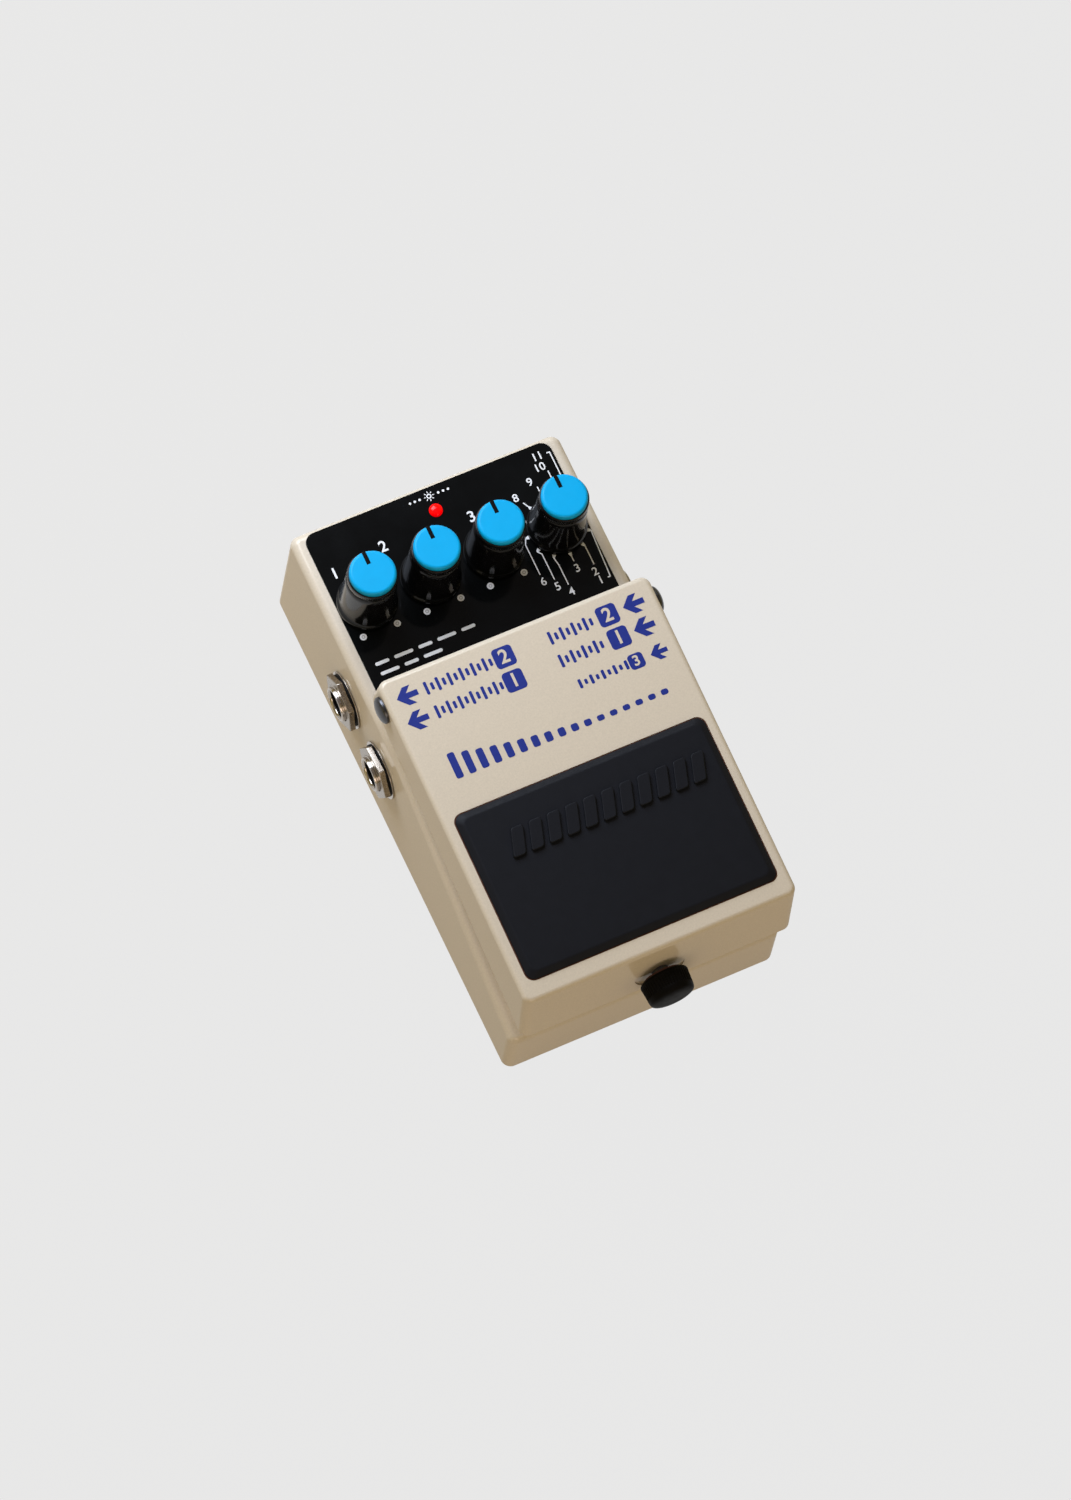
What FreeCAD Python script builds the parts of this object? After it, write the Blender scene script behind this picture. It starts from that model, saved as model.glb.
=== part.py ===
import FreeCAD, Part
import math
import os

import Sketcher
from FreeCAD import Placement, Rotation, Vector

# A compact foot pedal for delay effects: a die-cast case with a control panel at the rear, and a
# hinged treadle that covers the battery bay and works a foot switch.
# Frame: origin at the middle of the base, X to the right, Y to the rear, Z up, millimetres.

doc = FreeCAD.newDocument("delay_pedal")
sheet = doc.addObject("Spreadsheet::Sheet", "Sizes")
numbers = {}

# Driving dimensions
SIZES = [
    ("case_width", 67.3, "across the base"),
    ("case_length", 124.0, "front to rear at the base"),
    ("base_rubber", 1.0, "thickness of the rubber sheet underneath"),
    ("plate_thickness", 1.2, "steel bottom plate"),
    ("side_draft", 0.35, "lean of the side walls in degrees"),
    ("end_lean", 0.022, "lean of the front and rear walls, mm per mm"),
    ("case_corner", 2.3, "upright corner radius of the case"),
    ("wall", 2.2, "die-cast wall"),
    ("ledge_front", 18.2, "height of the ledge at the front"),
    ("deck_start", 4.0, "where the ledge meets the deck"),
    ("deck_front", 37.6, "height of the deck there"),
    ("deck_tilt", 0.865, "slope of the deck in degrees"),
    ("deck_thickness", 2.6, "die-cast deck"),
    ("raised_half", 30.7, "half width of the raised tub under the treadle"),
    ("raised_front", -58.7, "front face of the raised tub"),
    ("raised_front_top", 41.3, "height of its front wall"),
    ("raised_rear_top", 44.0, "height of its side walls at the rear"),
    ("bay_half", 28.3, "half width inside the battery bay"),
    ("bay_front", -56.3, "front of the battery bay"),
    ("bay_rear", -26.5, "rear of the battery bay"),
    ("roof_top", 36.0, "shelf that carries the spring and covers the switch"),
    ("roof_thickness", 2.0, "thickness of that shelf"),
    ("screw_across", 58.6, "spacing of the bottom screws across"),
    ("screw_along", 114.6, "spacing of the bottom screws along"),
    ("treadle_front", -62.6, "front edge of the treadle's top"),
    ("treadle_height", 48.2, "height of that edge"),
    ("treadle_tilt", 4.18, "slope of the treadle's top in degrees"),
    ("treadle_length", 79.5, "length of the treadle's top"),
    ("treadle_half", 33.2, "half width of the treadle"),
    ("treadle_plate", 1.8, "thickness of the treadle's top"),
    ("treadle_skirt", 1.9, "thickness of the side skirts"),
    ("skirt_front", 18.22, "depth of the front skirt"),
    ("skirt_rear", 10.79, "depth at the rear"),
    ("front_rake", 3.14, "how far the front skirt's foot stands forward"),
    ("rear_rake", 0.93, "how far the rear wall's foot stands back"),
    ("treadle_corner", 2.2, "upright corner radius of the treadle"),
    ("treadle_edge", 1.3, "rounding of the treadle's top edges"),
    ("pad_half", 30.47, "half width of the rubber tread"),
    ("pad_start", 4.4, "front edge of the tread, along the treadle"),
    ("pad_length", 40.5, "length of the tread"),
    ("pad_sink", 0.8, "depth of the tread's seat"),
    ("pad_rise", 1.0, "how far the tread stands proud"),
    ("pad_corner", 2.0, "corner radius of the tread"),
    ("hinge_along", 74.37, "hinge axis, along the treadle"),
    ("hinge_drop", 4.53, "hinge axis, below the treadle's top"),
    ("hinge_head", 3.15, "radius of a hinge pin's head"),
    ("hinge_head_out", 34.9, "outer face of a hinge pin's head"),
    ("hinge_shoulder", 2.0, "radius of a hinge pin's shoulder"),
    ("hinge_shank", 1.25, "radius of a hinge pin's shank"),
    ("ear_radius", 2.5, "radius of a hinge ear"),
    ("ear_inner", 26.2, "inner face of a hinge ear"),
    ("running_gap", 0.05, "radial clearance of a running fit"),
    ("thumb_height", 36.4, "height of the thumbscrew's axis"),
    ("thumb_shank", 2.0, "radius of the thumbscrew's shank"),
    ("thumb_nose", 1.8, "radius of its plain nose"),
    ("thumb_head", 5.75, "radius of its head at the rear"),
    ("thumb_head_front", 5.25, "radius of its head at the front"),
    ("thumb_head_length", 5.8, "length of its head"),
    ("thumb_back", -65.4, "rear face of the head, backed off as it rests"),
    ("thumb_seat", -63.7, "flat seat of the thumbscrew's washer"),
    ("thumb_seat_radius", 6.1, "radius of that seat"),
    ("thumb_tip", -59.55, "end of the nose"),
    ("slot_half", 2.15, "half width of the guide slot"),
    ("slot_bottom", 30.3, "bottom of the guide slot"),
    ("slot_top", 38.4, "top of the guide slot"),
    ("spring_y", -14.0, "axis of the return spring"),
    ("spring_mean", 5.4, "mean radius of the return spring"),
    ("spring_wire", 0.6, "radius of its wire"),
    ("spring_turns", 4.5, "turns of the return spring"),
    ("spring_seat", 0.8, "thickness of the cupped seat on top of the spring"),
    ("spring_seat_hole", 4.4, "radius of the hole in that seat"),
    ("spring_seat_radius", 6.9, "outer radius of that seat"),
    ("switch_lever", 11.9, "foot switch, in front of the hinge axis"),
    ("switch_plunger", 1.75, "radius of the foot switch's plunger"),
    ("plunger_top", 38.5, "top of the plunger"),
    ("knob_row", 40.2, "the row of knobs"),
    ("knob_pitch", 15.68, "spacing of the knobs"),
    ("knob_height", 18.9, "height of a knob's cap over the deck"),
    ("knob_foot", 6.9, "radius of a knob's foot"),
    ("knob_waist", 6.35, "radius of a knob above its foot"),
    ("knob_collar", 5.9, "radius of a knob's collar"),
    ("cap_radius", 5.3, "radius of a coloured cap"),
    ("cap_depth", 2.4, "depth of a coloured cap"),
    ("pointer_width", 0.9, "width of the pointer"),
    ("pointer_inner", 2.1, "inner end of the pointer"),
    ("shaft_radius", 3.0, "radius of a control's shaft"),
    ("bushing_radius", 3.5, "radius of a control's threaded bushing"),
    ("jack_height", 21.65, "height of the jacks' axes"),
    ("jack_front", 7.9, "the second jack from the rear"),
    ("jack_pitch", 18.3, "spacing of the jacks"),
    ("jack_out", 36.7, "outer end of a jack's bushing"),
    ("jack_thread", 4.25, "radius of a jack's bushing"),
    ("jack_bore", 3.25, "radius of a jack's bore"),
    ("jack_washer", 6.95, "radius of a jack's washer"),
    ("jack_nut", 6.0, "half the width across a jack nut's flats"),
    ("jack_depth", 24.0, "length of a jack's body inside the case"),
    ("power_height", 22.0, "height of the power inlet"),
    ("led_y", 54.3, "the indicator lamp"),
    ("led_radius", 1.55, "radius of the indicator lamp"),
    ("label_half", 30.4, "half width of the panel plate"),
    ("label_rear", 60.1, "rear edge of the panel plate"),
    ("label_front", 18.6, "front edge of the panel plate"),
    ("label_thickness", 0.3, "thickness of the panel plate"),
    ("battery_length", 48.5, "nine-volt battery"),
    ("battery_depth", 26.5, "nine-volt battery"),
    ("battery_height", 17.5, "nine-volt battery"),
]


class Size:
    """A length that knows both its number and the sheet formula it comes from."""

    def __init__(self, number, text):
        self.number = float(number)
        self.text = text

    def __add__(self, other):
        return Size(self.number + plain(other), "(%s + %s)" % (self.text, formula(other)))

    def __radd__(self, other):
        return Size(plain(other) + self.number, "(%s + %s)" % (formula(other), self.text))

    def __sub__(self, other):
        return Size(self.number - plain(other), "(%s - %s)" % (self.text, formula(other)))

    def __rsub__(self, other):
        return Size(plain(other) - self.number, "(%s - %s)" % (formula(other), self.text))

    def __mul__(self, other):
        return Size(self.number * plain(other), "(%s * %s)" % (self.text, formula(other)))

    def __rmul__(self, other):
        return Size(plain(other) * self.number, "(%s * %s)" % (formula(other), self.text))

    def __truediv__(self, other):
        return Size(self.number / plain(other), "(%s / %s)" % (self.text, formula(other)))

    def __neg__(self):
        return Size(-self.number, "(-1 * %s)" % self.text)


def plain(value):
    return value.number if isinstance(value, Size) else float(value)


def formula(value):
    return value.text if isinstance(value, Size) else "(%.6f)" % value


def size(name):
    return Size(numbers[name], "Sizes." + name)


def cosine(angle):
    return Size(math.cos(math.radians(angle.number)), "cos(%s * 1 deg)" % angle.text)


def sine(angle):
    return Size(math.sin(math.radians(angle.number)), "sin(%s * 1 deg)" % angle.text)


for row, (alias, value, meaning) in enumerate(SIZES, start=1):
    sheet.set("A%d" % row, meaning)
    sheet.set("B%d" % row, str(value))
    sheet.setAlias("B%d" % row, alias)
    numbers[alias] = value
doc.recompute()


def bind(thing, path, value):
    if isinstance(value, Size):
        thing.setExpression(path, value.text)
    else:
        thing.setExpression(path, "%.6f" % value)


# Placing a piece: a point, and a turn about one axis

def place(thing, x, y, z, axis=Vector(1, 0, 0), angle=0.0):
    thing.Placement = Placement(Vector(plain(x), plain(y), plain(z)), Rotation(axis, plain(angle)))
    bind(thing, "Placement.Base.x", x)
    bind(thing, "Placement.Base.y", y)
    bind(thing, "Placement.Base.z", z)
    if isinstance(angle, Size):
        bind(thing, "Placement.Rotation.Angle", angle)
    return thing


# Sketches

def new_body(name):
    body = doc.addObject("PartDesign::Body", name)
    body.Label = name
    return body


def origin_plane(body, role):
    return [part for part in body.Origin.OriginFeatures if part.Role == role][0]


def sketch_on(body, role, offset, draw):
    sketch = body.newObject("Sketcher::SketchObject", body.Name + "_sketch")
    sketch.AttachmentSupport = [(origin_plane(body, role), "")]
    sketch.MapMode = "FlatFace"
    sketch.AttachmentOffset = Placement(Vector(0, 0, plain(offset)), Rotation())
    bind(sketch, "AttachmentOffset.Base.z", offset)
    draw(sketch)
    return sketch


def pin_point(sketch, shape, end, x, y):
    if plain(x) == 0.0:
        sketch.addConstraint(Sketcher.Constraint("PointOnObject", shape, end, -2))
    else:
        index = sketch.addConstraint(Sketcher.Constraint("DistanceX", -1, 1, shape, end, plain(x)))
        bind(sketch, "Constraints[%d]" % index, x)
    if plain(y) == 0.0:
        sketch.addConstraint(Sketcher.Constraint("PointOnObject", shape, end, -1))
    else:
        index = sketch.addConstraint(Sketcher.Constraint("DistanceY", -1, 1, shape, end, plain(y)))
        bind(sketch, "Constraints[%d]" % index, y)


def polygon(*points):
    def draw(sketch):
        first = sketch.GeometryCount
        count = len(points)
        for index, (x, y) in enumerate(points):
            next_x, next_y = points[(index + 1) % count]
            start = Vector(plain(x), plain(y), 0)
            end = Vector(plain(next_x), plain(next_y), 0)
            sketch.addGeometry(Part.LineSegment(start, end), False)
        for index in range(count):
            after = first + (index + 1) % count
            sketch.addConstraint(Sketcher.Constraint("Coincident", first + index, 2, after, 1))
        for index, (x, y) in enumerate(points):
            pin_point(sketch, first + index, 1, x, y)
    return draw


def rectangle(x_low, x_high, y_low, y_high):
    return polygon((x_low, y_low), (x_high, y_low), (x_high, y_high), (x_low, y_high))


def circle(x, y, radius):
    def draw(sketch):
        ring = Part.Circle(Vector(plain(x), plain(y), 0), Vector(0, 0, 1), plain(radius))
        shape = sketch.addGeometry(ring, False)
        pin_point(sketch, shape, 3, x, y)
        index = sketch.addConstraint(Sketcher.Constraint("Radius", shape, plain(radius)))
        bind(sketch, "Constraints[%d]" % index, radius)
    return draw


def slot(x, y_low, y_high, half_width):
    """An upright slot with round ends."""
    def draw(sketch):
        low = Vector(plain(x), plain(y_low) + plain(half_width), 0)
        high = Vector(plain(x), plain(y_high) - plain(half_width), 0)
        side = Vector(plain(half_width), 0, 0)
        axis = Vector(0, 0, 1)
        top = sketch.addGeometry(
            Part.ArcOfCircle(Part.Circle(high, axis, side.x), 0, math.pi), False)
        left = sketch.addGeometry(Part.LineSegment(high - side, low - side), False)
        bottom = sketch.addGeometry(
            Part.ArcOfCircle(Part.Circle(low, axis, side.x), math.pi, 2 * math.pi), False)
        right = sketch.addGeometry(Part.LineSegment(low + side, high + side), False)
        sketch.addConstraint(Sketcher.Constraint("Tangent", top, 2, left, 1))
        sketch.addConstraint(Sketcher.Constraint("Tangent", left, 2, bottom, 1))
        sketch.addConstraint(Sketcher.Constraint("Tangent", bottom, 2, right, 1))
        sketch.addConstraint(Sketcher.Constraint("Tangent", right, 2, top, 1))
        pin_point(sketch, top, 3, x, y_high - half_width)
        pin_point(sketch, bottom, 3, x, y_low + half_width)
        index = sketch.addConstraint(Sketcher.Constraint("Radius", top, plain(half_width)))
        bind(sketch, "Constraints[%d]" % index, half_width)
    return draw


def hexagon(flat, turned):
    """A nut's outline from half its width across flats, turned by an angle in radians."""
    corner = flat / math.cos(math.pi / 6)
    angles = [math.pi / 3 * index + turned for index in range(6)]
    return polygon(*[(corner * math.cos(angle), corner * math.sin(angle)) for angle in angles])


def shapes(*drawings):
    def draw(sketch):
        for drawing in drawings:
            drawing(sketch)
    return draw


# Solid features

def pad(body, role, low, high, draw):
    """Material between two levels along the plane's axis: Z, X, or Y for XZ_Plane."""
    offset = -high if role == "XZ_Plane" else low
    sketch = sketch_on(body, role, offset, draw)
    feature = body.newObject("PartDesign::Pad", body.Name + "_pad")
    feature.Profile = sketch
    feature.Length = plain(high - low)
    bind(feature, "Length", high - low)
    return feature


def pocket(body, role, low, high, draw):
    """A cut between two levels along the plane's axis."""
    doc.recompute()
    before = body.Tip.Shape.Volume
    offset = -low if role == "XZ_Plane" else high
    sketch = sketch_on(body, role, offset, draw)
    feature = body.newObject("PartDesign::Pocket", body.Name + "_pocket")
    feature.Profile = sketch
    feature.Length = plain(high - low)
    bind(feature, "Length", high - low)
    doc.recompute()
    if feature.Shape.Volume > before - 1e-6:
        raise RuntimeError("a pocket of %s cuts nothing" % body.Name)
    return feature


def turn(body, *profile):
    """A turned solid about the body's own Z axis from a profile of radius and height."""
    sketch = sketch_on(body, "XZ_Plane", 0.0, polygon(*profile))
    feature = body.newObject("PartDesign::Revolution", body.Name + "_turned")
    feature.Profile = sketch
    feature.ReferenceAxis = (sketch, ["V_Axis"])
    feature.Angle = 360.0
    return feature


def edge_names(shape, choose):
    return ["Edge%d" % (index + 1) for index, edge in enumerate(shape.Edges) if choose(edge)]


def round_edges(body, radius, choose):
    doc.recompute()
    base = body.Tip
    names = edge_names(base.Shape, choose)
    if not names:
        raise RuntimeError("no edge of %s to round" % body.Name)
    feature = body.newObject("PartDesign::Fillet", body.Name + "_fillet")
    feature.Base = (base, names)
    feature.Radius = plain(radius)
    bind(feature, "Radius", radius)
    return feature


def middle(edge):
    return edge.valueAt((edge.FirstParameter + edge.LastParameter) / 2)


def direction(edge):
    return (edge.Vertexes[-1].Point - edge.Vertexes[0].Point).normalize()


def is_straight(edge):
    return edge.Curve.TypeId == "Part::GeomLine" and len(edge.Vertexes) == 2


def box(name, x_low, x_high, y_low, y_high, z_low, z_high):
    block = doc.addObject("Part::Box", name)
    block.Label = name
    bind(block, "Length", x_high - x_low)
    bind(block, "Width", y_high - y_low)
    bind(block, "Height", z_high - z_low)
    place(block, x_low, y_low, z_low)
    return block


def group(name, members):
    bundle = doc.addObject("Part::Compound", name)
    bundle.Label = name
    bundle.Links = members
    return bundle


# Derived places

half_width = size("case_width") / 2
half_length = size("case_length") / 2
case_foot = size("base_rubber") + size("plate_thickness")
end_lean = size("end_lean")
deck_start = size("deck_start")
deck_cos = cosine(size("deck_tilt"))
deck_sin = sine(size("deck_tilt"))
deck_slope = deck_sin / deck_cos
treadle_cos = cosine(size("treadle_tilt"))
treadle_sin = sine(size("treadle_tilt"))
hinge_y = size("treadle_front") + size("hinge_along") * treadle_cos + size("hinge_drop") * treadle_sin
hinge_z = size("treadle_height") + size("hinge_along") * treadle_sin - size("hinge_drop") * treadle_cos
roof_under = size("roof_top") - size("roof_thickness")
switch_y = hinge_y - size("switch_lever")
gap = size("running_gap")
SIDES = (-1, 1)


def deck_height(y):
    return size("deck_front") + (y - deck_start) * deck_slope


def treadle_under(y):
    """Height of the treadle's underside above a point of the base."""
    rise = (y - size("treadle_front")) * treadle_sin / treadle_cos
    return size("treadle_height") + rise - size("treadle_plate") / treadle_cos


def on_deck(thing, x, y):
    return place(thing, x, y, deck_height(y), Vector(1, 0, 0), size("deck_tilt"))


def on_treadle(thing):
    front = size("treadle_front")
    return place(thing, 0.0, front, size("treadle_height"), Vector(1, 0, 0), size("treadle_tilt"))


knob_places = [(index - 1.5) * size("knob_pitch") for index in range(4)]
jack_places = [
    (-1, size("jack_front") + size("jack_pitch")),
    (-1, size("jack_front")),
    (1, size("jack_front") + size("jack_pitch")),
    (1, size("jack_front")),
    (1, size("jack_front") - size("jack_pitch")),
]
screw_places = [
    (side * size("screw_across") / 2, end * size("screw_along") / 2)
    for side in SIDES for end in SIDES
]


# Die-cast case

def make_case():
    body = new_body("case")
    front = -half_length
    deck_rear = half_length - (deck_height(half_length) - case_foot) * end_lean
    ledge_y = front + (size("ledge_front") - case_foot) * end_lean
    pad(body, "YZ_Plane", -half_width, half_width, polygon(
        (front, case_foot),
        (ledge_y, size("ledge_front")),
        (deck_start, size("deck_front")),
        (deck_rear, deck_height(deck_rear)),
        (half_length, case_foot)))
    doc.recompute()
    sides = ["Face%d" % (index + 1) for index, face in enumerate(body.Tip.Shape.Faces)
             if abs(face.normalAt(0, 0).x) > 0.9]
    draft = body.newObject("PartDesign::Draft", "case_draft")
    draft.Base = (body.Group[-2], sides)
    draft.NeutralPlane = (origin_plane(body, "XY_Plane"), [""])
    draft.Angle = plain(size("side_draft"))
    bind(draft, "Angle", size("side_draft"))
    draft.Reversed = False
    doc.recompute()
    if draft.Shape.BoundBox.XMax > plain(half_width) + 0.01:
        draft.Reversed = True
        doc.recompute()
    round_edges(body, size("case_corner"), lambda edge: (
        is_straight(edge) and abs(direction(edge).z) > 0.9 and abs(middle(edge).x) > 30))
    round_edges(body, 2.0, lambda edge: (
        abs(middle(edge).x) > 30 and edge.BoundBox.ZMin > 17 and edge.BoundBox.YLength > 20))

    pad(body, "YZ_Plane", -size("raised_half"), size("raised_half"), polygon(
        (size("raised_front"), 12.0),
        (size("raised_front") + 0.2, size("raised_front_top")),
        (deck_start - 1.0, size("raised_rear_top")),
        (deck_start - 1.0, size("deck_front") - 4.0)))
    round_edges(body, 2.0, lambda edge: (
        is_straight(edge) and abs(direction(edge).z) > 0.9 and middle(edge).z > 20
        and middle(edge).y < -50 and 30 < abs(middle(edge).x) < 31.5))
    for side in SIDES:
        low = size("ear_inner") * side if side > 0 else size("raised_half") * side
        high = size("raised_half") * side if side > 0 else size("ear_inner") * side
        pad(body, "YZ_Plane", low, high, polygon(
            (deck_start - 2.0, size("deck_front") - 3.0),
            (deck_start - 2.0, size("raised_rear_top") - 0.3),
            (hinge_y - size("ear_radius"), hinge_z),
            (hinge_y + size("ear_radius"), hinge_z),
            (hinge_y + size("ear_radius"), size("deck_front") - 3.0)))
        pad(body, "YZ_Plane", low, high, circle(hinge_y, hinge_z, size("ear_radius")))

    # Battery bay, open at the top and closed below by the bottom plate
    tall = size("raised_rear_top") + 2.0
    pocket(body, "XY_Plane", case_foot - 1.0, tall, rectangle(
        -size("bay_half"), size("bay_half"), size("bay_front"), size("bay_rear")))
    # Hollow above the shelf, between the side walls
    pocket(body, "XY_Plane", size("roof_top"), tall, rectangle(
        -size("bay_half"), size("bay_half"), size("bay_rear") + size("wall"), deck_start - 1.0))
    # Electronics space: wide below, narrower under the shelf, full width under the deck
    low_top = 27.5
    space_half = half_width - size("wall")
    space_rear = half_length - size("wall") - 0.3
    space_front = size("bay_rear") + size("wall")
    pocket(body, "XY_Plane", case_foot - 1.0, low_top, rectangle(
        -space_half, space_half, space_front, space_rear))
    pocket(body, "XY_Plane", low_top - 1.0, roof_under, rectangle(
        -size("bay_half"), size("bay_half"), space_front, deck_start + 2.0))
    pocket(body, "XY_Plane", low_top - 1.0, size("deck_front") - size("deck_thickness") + 0.4, rectangle(
        -space_half, space_half, deck_start + 1.0, space_rear - 0.6))

    # Screw bosses in the four corners
    for x, y in screw_places:
        pad(body, "XY_Plane", case_foot, case_foot + 11.0, circle(x, y, 3.2))
    pocket(body, "XY_Plane", case_foot - 1.0, case_foot + 9.0, shapes(
        *[circle(x, y, 1.45) for x, y in screw_places]))
    # Spring seat: a low post inside a shallow ring
    pad(body, "XY_Plane", size("roof_top") - 0.5, size("roof_top") + 3.0, circle(0.0, size("spring_y"), 4.0))

    # Openings: controls, lamp, foot switch, guide slot, hinge pins, jacks and power
    deck_top = size("deck_front") + 3.0
    pocket(body, "XY_Plane", size("deck_front") - 4.0, deck_top, shapes(
        *[circle(x, size("knob_row"), size("bushing_radius") + 0.15) for x in knob_places],
        circle(0.0, size("led_y"), size("led_radius") + 0.15)))
    pocket(body, "XY_Plane", roof_under - 1.0, size("roof_top") + 1.0, circle(
        0.0, switch_y, size("switch_plunger") + 0.35))
    pocket(body, "XZ_Plane", size("raised_front") - 1.0, size("bay_front") + 1.0, slot(
        0.0, size("slot_bottom") - 1.0, size("slot_top") + 1.0, size("slot_half") + 1.0))
    pocket(body, "YZ_Plane", -size("raised_half") - 1.0, size("raised_half") + 1.0, circle(
        hinge_y, hinge_z, size("hinge_shank") + gap))
    for side, y in jack_places:
        low = half_width * side - 4.0
        pocket(body, "YZ_Plane", low, low + 8.0, circle(y, size("jack_height"), size("jack_thread") + 0.15))
    pocket(body, "XZ_Plane", half_length - 6.0, half_length + 1.0, circle(
        0.0, size("power_height"), 4.2))
    return body


def make_base():
    plate = new_body("bottom_plate")
    plate_half = half_width - 0.4
    plate_end = half_length - 0.4
    pad(plate, "XY_Plane", size("base_rubber"), case_foot, rectangle(
        -plate_half, plate_half, -plate_end, plate_end))
    round_edges(plate, 2.0, lambda edge: is_straight(edge) and abs(direction(edge).z) > 0.9)
    pocket(plate, "XY_Plane", size("base_rubber") - 1.0, case_foot + 1.0, shapes(
        *[circle(x, y, 1.7) for x, y in screw_places]))

    rubber = new_body("base_rubber_sheet")
    rubber_half = half_width - 1.6
    rubber_end = half_length - 1.6
    pad(rubber, "XY_Plane", 0.0, size("base_rubber"), rectangle(
        -rubber_half, rubber_half, -rubber_end, rubber_end))
    round_edges(rubber, 3.0, lambda edge: is_straight(edge) and abs(direction(edge).z) > 0.9)
    pocket(rubber, "XY_Plane", -1.0, size("base_rubber") + 1.0, shapes(
        *[circle(x, y, 3.4) for x, y in screw_places]))

    screws = []
    for index, (x, y) in enumerate(screw_places):
        screw = new_body("base_screw_%d" % (index + 1))
        turn(screw,
             (0.0, 0.15), (2.7, 0.15), (2.7, size("base_rubber")), (1.4, size("base_rubber")),
             (1.4, case_foot + 7.0), (0.0, case_foot + 7.6))
        place(screw, x, y, 0.0)
        screws.append(screw)
    return [plate, rubber, group("base_screws", screws)]


# Treadle, built in its own frame: origin at the front top edge, Y along the top, Z square to it

def make_treadle():
    body = new_body("treadle")
    half = size("treadle_half")
    length = size("treadle_length")
    pad(body, "YZ_Plane", -half, half, polygon(
        (0.0, 0.0),
        (-size("front_rake"), -size("skirt_front")),
        (length + size("rear_rake"), -size("skirt_rear")),
        (length, 0.0)))
    round_edges(body, size("treadle_corner"), lambda edge: (
        is_straight(edge) and abs(direction(edge).z) > 0.9))
    round_edges(body, size("treadle_edge"), lambda edge: edge.BoundBox.ZMin > -0.01)

    # Hollow underneath
    inner = half - size("treadle_skirt")
    plate = size("treadle_plate")
    lean = size("front_rake") / size("skirt_front")
    front_wall = 2.4
    rear_wall = 2.0
    deep = size("skirt_front") + 4.0
    pocket(body, "YZ_Plane", -inner, inner, polygon(
        (front_wall - plate * lean, -plate),
        (front_wall - deep * lean, -deep),
        (length + 4.0 - rear_wall, -deep),
        (length - rear_wall, -plate)))
    # The rear wall is cut away round the hinge ears
    for side in SIDES:
        edge_in = size("ear_inner") - 0.5
        low = edge_in if side > 0 else -inner
        high = inner if side > 0 else -edge_in
        pocket(body, "XZ_Plane", length - 3.0, length + 3.0, rectangle(
            low, high, -size("skirt_rear") - 1.0, -plate))
    # Cross ribs and two long ribs under the plate
    for along in (20.0, 36.0, 57.0):
        pad(body, "XZ_Plane", along, (along + 1.4), rectangle(
            -inner - 0.5, inner + 0.5, -plate - 2.2, -plate + 0.3))
    # Guide ring that holds the top of the return spring
    spring_along = (size("spring_y") - size("treadle_front")) / treadle_cos
    pad(body, "XY_Plane", -plate - 1.6, -plate + 0.3, circle(0.0, spring_along + 0.25, 3.9))
    # Seat of the rubber tread
    pocket(body, "XY_Plane", -size("pad_sink"), size("pad_rise"), rectangle(
        -size("pad_half") - 0.25, size("pad_half") + 0.25,
        size("pad_start") - 0.25, size("pad_start") + size("pad_length") + 0.25))
    round_edges(body, 2.2, lambda edge: (
        is_straight(edge) and abs(direction(edge).z) > 0.9 and edge.BoundBox.ZMin > -1.0
        and abs(middle(edge).x) < 31.0))
    # Hinge holes through both skirts
    pocket(body, "YZ_Plane", -half - 1.0, half + 1.0, circle(
        size("hinge_along"), -size("hinge_drop"), size("hinge_shoulder") + gap))
    on_treadle(body)
    doc.recompute()

    # The thumbscrew's hole runs level, so it leans against the treadle's own frame
    bore = doc.addObject("Part::Cylinder", "thumb_hole")
    bind(bore, "Radius", size("thumb_shank") + gap)
    bind(bore, "Height", 12.0)
    place(bore, 0.0, size("treadle_front") + 3.0, size("thumb_height"), Vector(1, 0, 0), 90.0)
    seat = doc.addObject("Part::Cylinder", "thumb_seat_cut")
    bind(seat, "Radius", size("thumb_seat_radius"))
    bind(seat, "Height", 8.0)
    place(seat, 0.0, size("thumb_seat"), size("thumb_height"), Vector(1, 0, 0), 90.0)
    cuts = doc.addObject("Part::MultiFuse", "thumb_cuts")
    cuts.Shapes = [bore, seat]
    bored = doc.addObject("Part::Cut", "pedal")
    bored.Label = "pedal"
    bored.Base = body
    bored.Tool = cuts

    tread = new_body("pedal_pad")
    lift = 0.05
    pad(tread, "XY_Plane", -size("pad_sink") + lift, size("pad_rise"), rectangle(
        -size("pad_half"), size("pad_half"), size("pad_start"), size("pad_start") + size("pad_length")))
    round_edges(tread, size("pad_corner"), lambda edge: is_straight(edge) and abs(direction(edge).z) > 0.9)
    doc.recompute()
    rim = edge_names(tread.Tip.Shape, lambda edge: edge.BoundBox.ZMin > numbers["pad_rise"] - 0.01)
    bevel = tread.newObject("PartDesign::Chamfer", "pedal_pad_bevel")
    bevel.Base = (tread.Group[-2], rim)
    bevel.ChamferType = "Two distances"
    bevel.Size = 0.9
    bevel.Size2 = 1.4
    on_treadle(tread)

    pusher = new_body("switch_pusher")
    pusher_length = (treadle_under(switch_y) - size("plunger_top")) * treadle_cos - 0.2
    turn(pusher,
         (0.0, -pusher_length), (1.2, -pusher_length),
         (2.2, 1.2 - pusher_length), (2.6, 0.0), (0.0, 0.0))
    foot_shift = pusher_length * treadle_sin
    seat_y = switch_y - foot_shift
    place(pusher, 0.0, seat_y, treadle_under(seat_y) - 0.01, Vector(1, 0, 0), size("treadle_tilt"))
    return [bored, tread, pusher]


# Hinge pins: a domed head outside the skirt, a shoulder in the skirt, a shank in the case's ear

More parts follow.
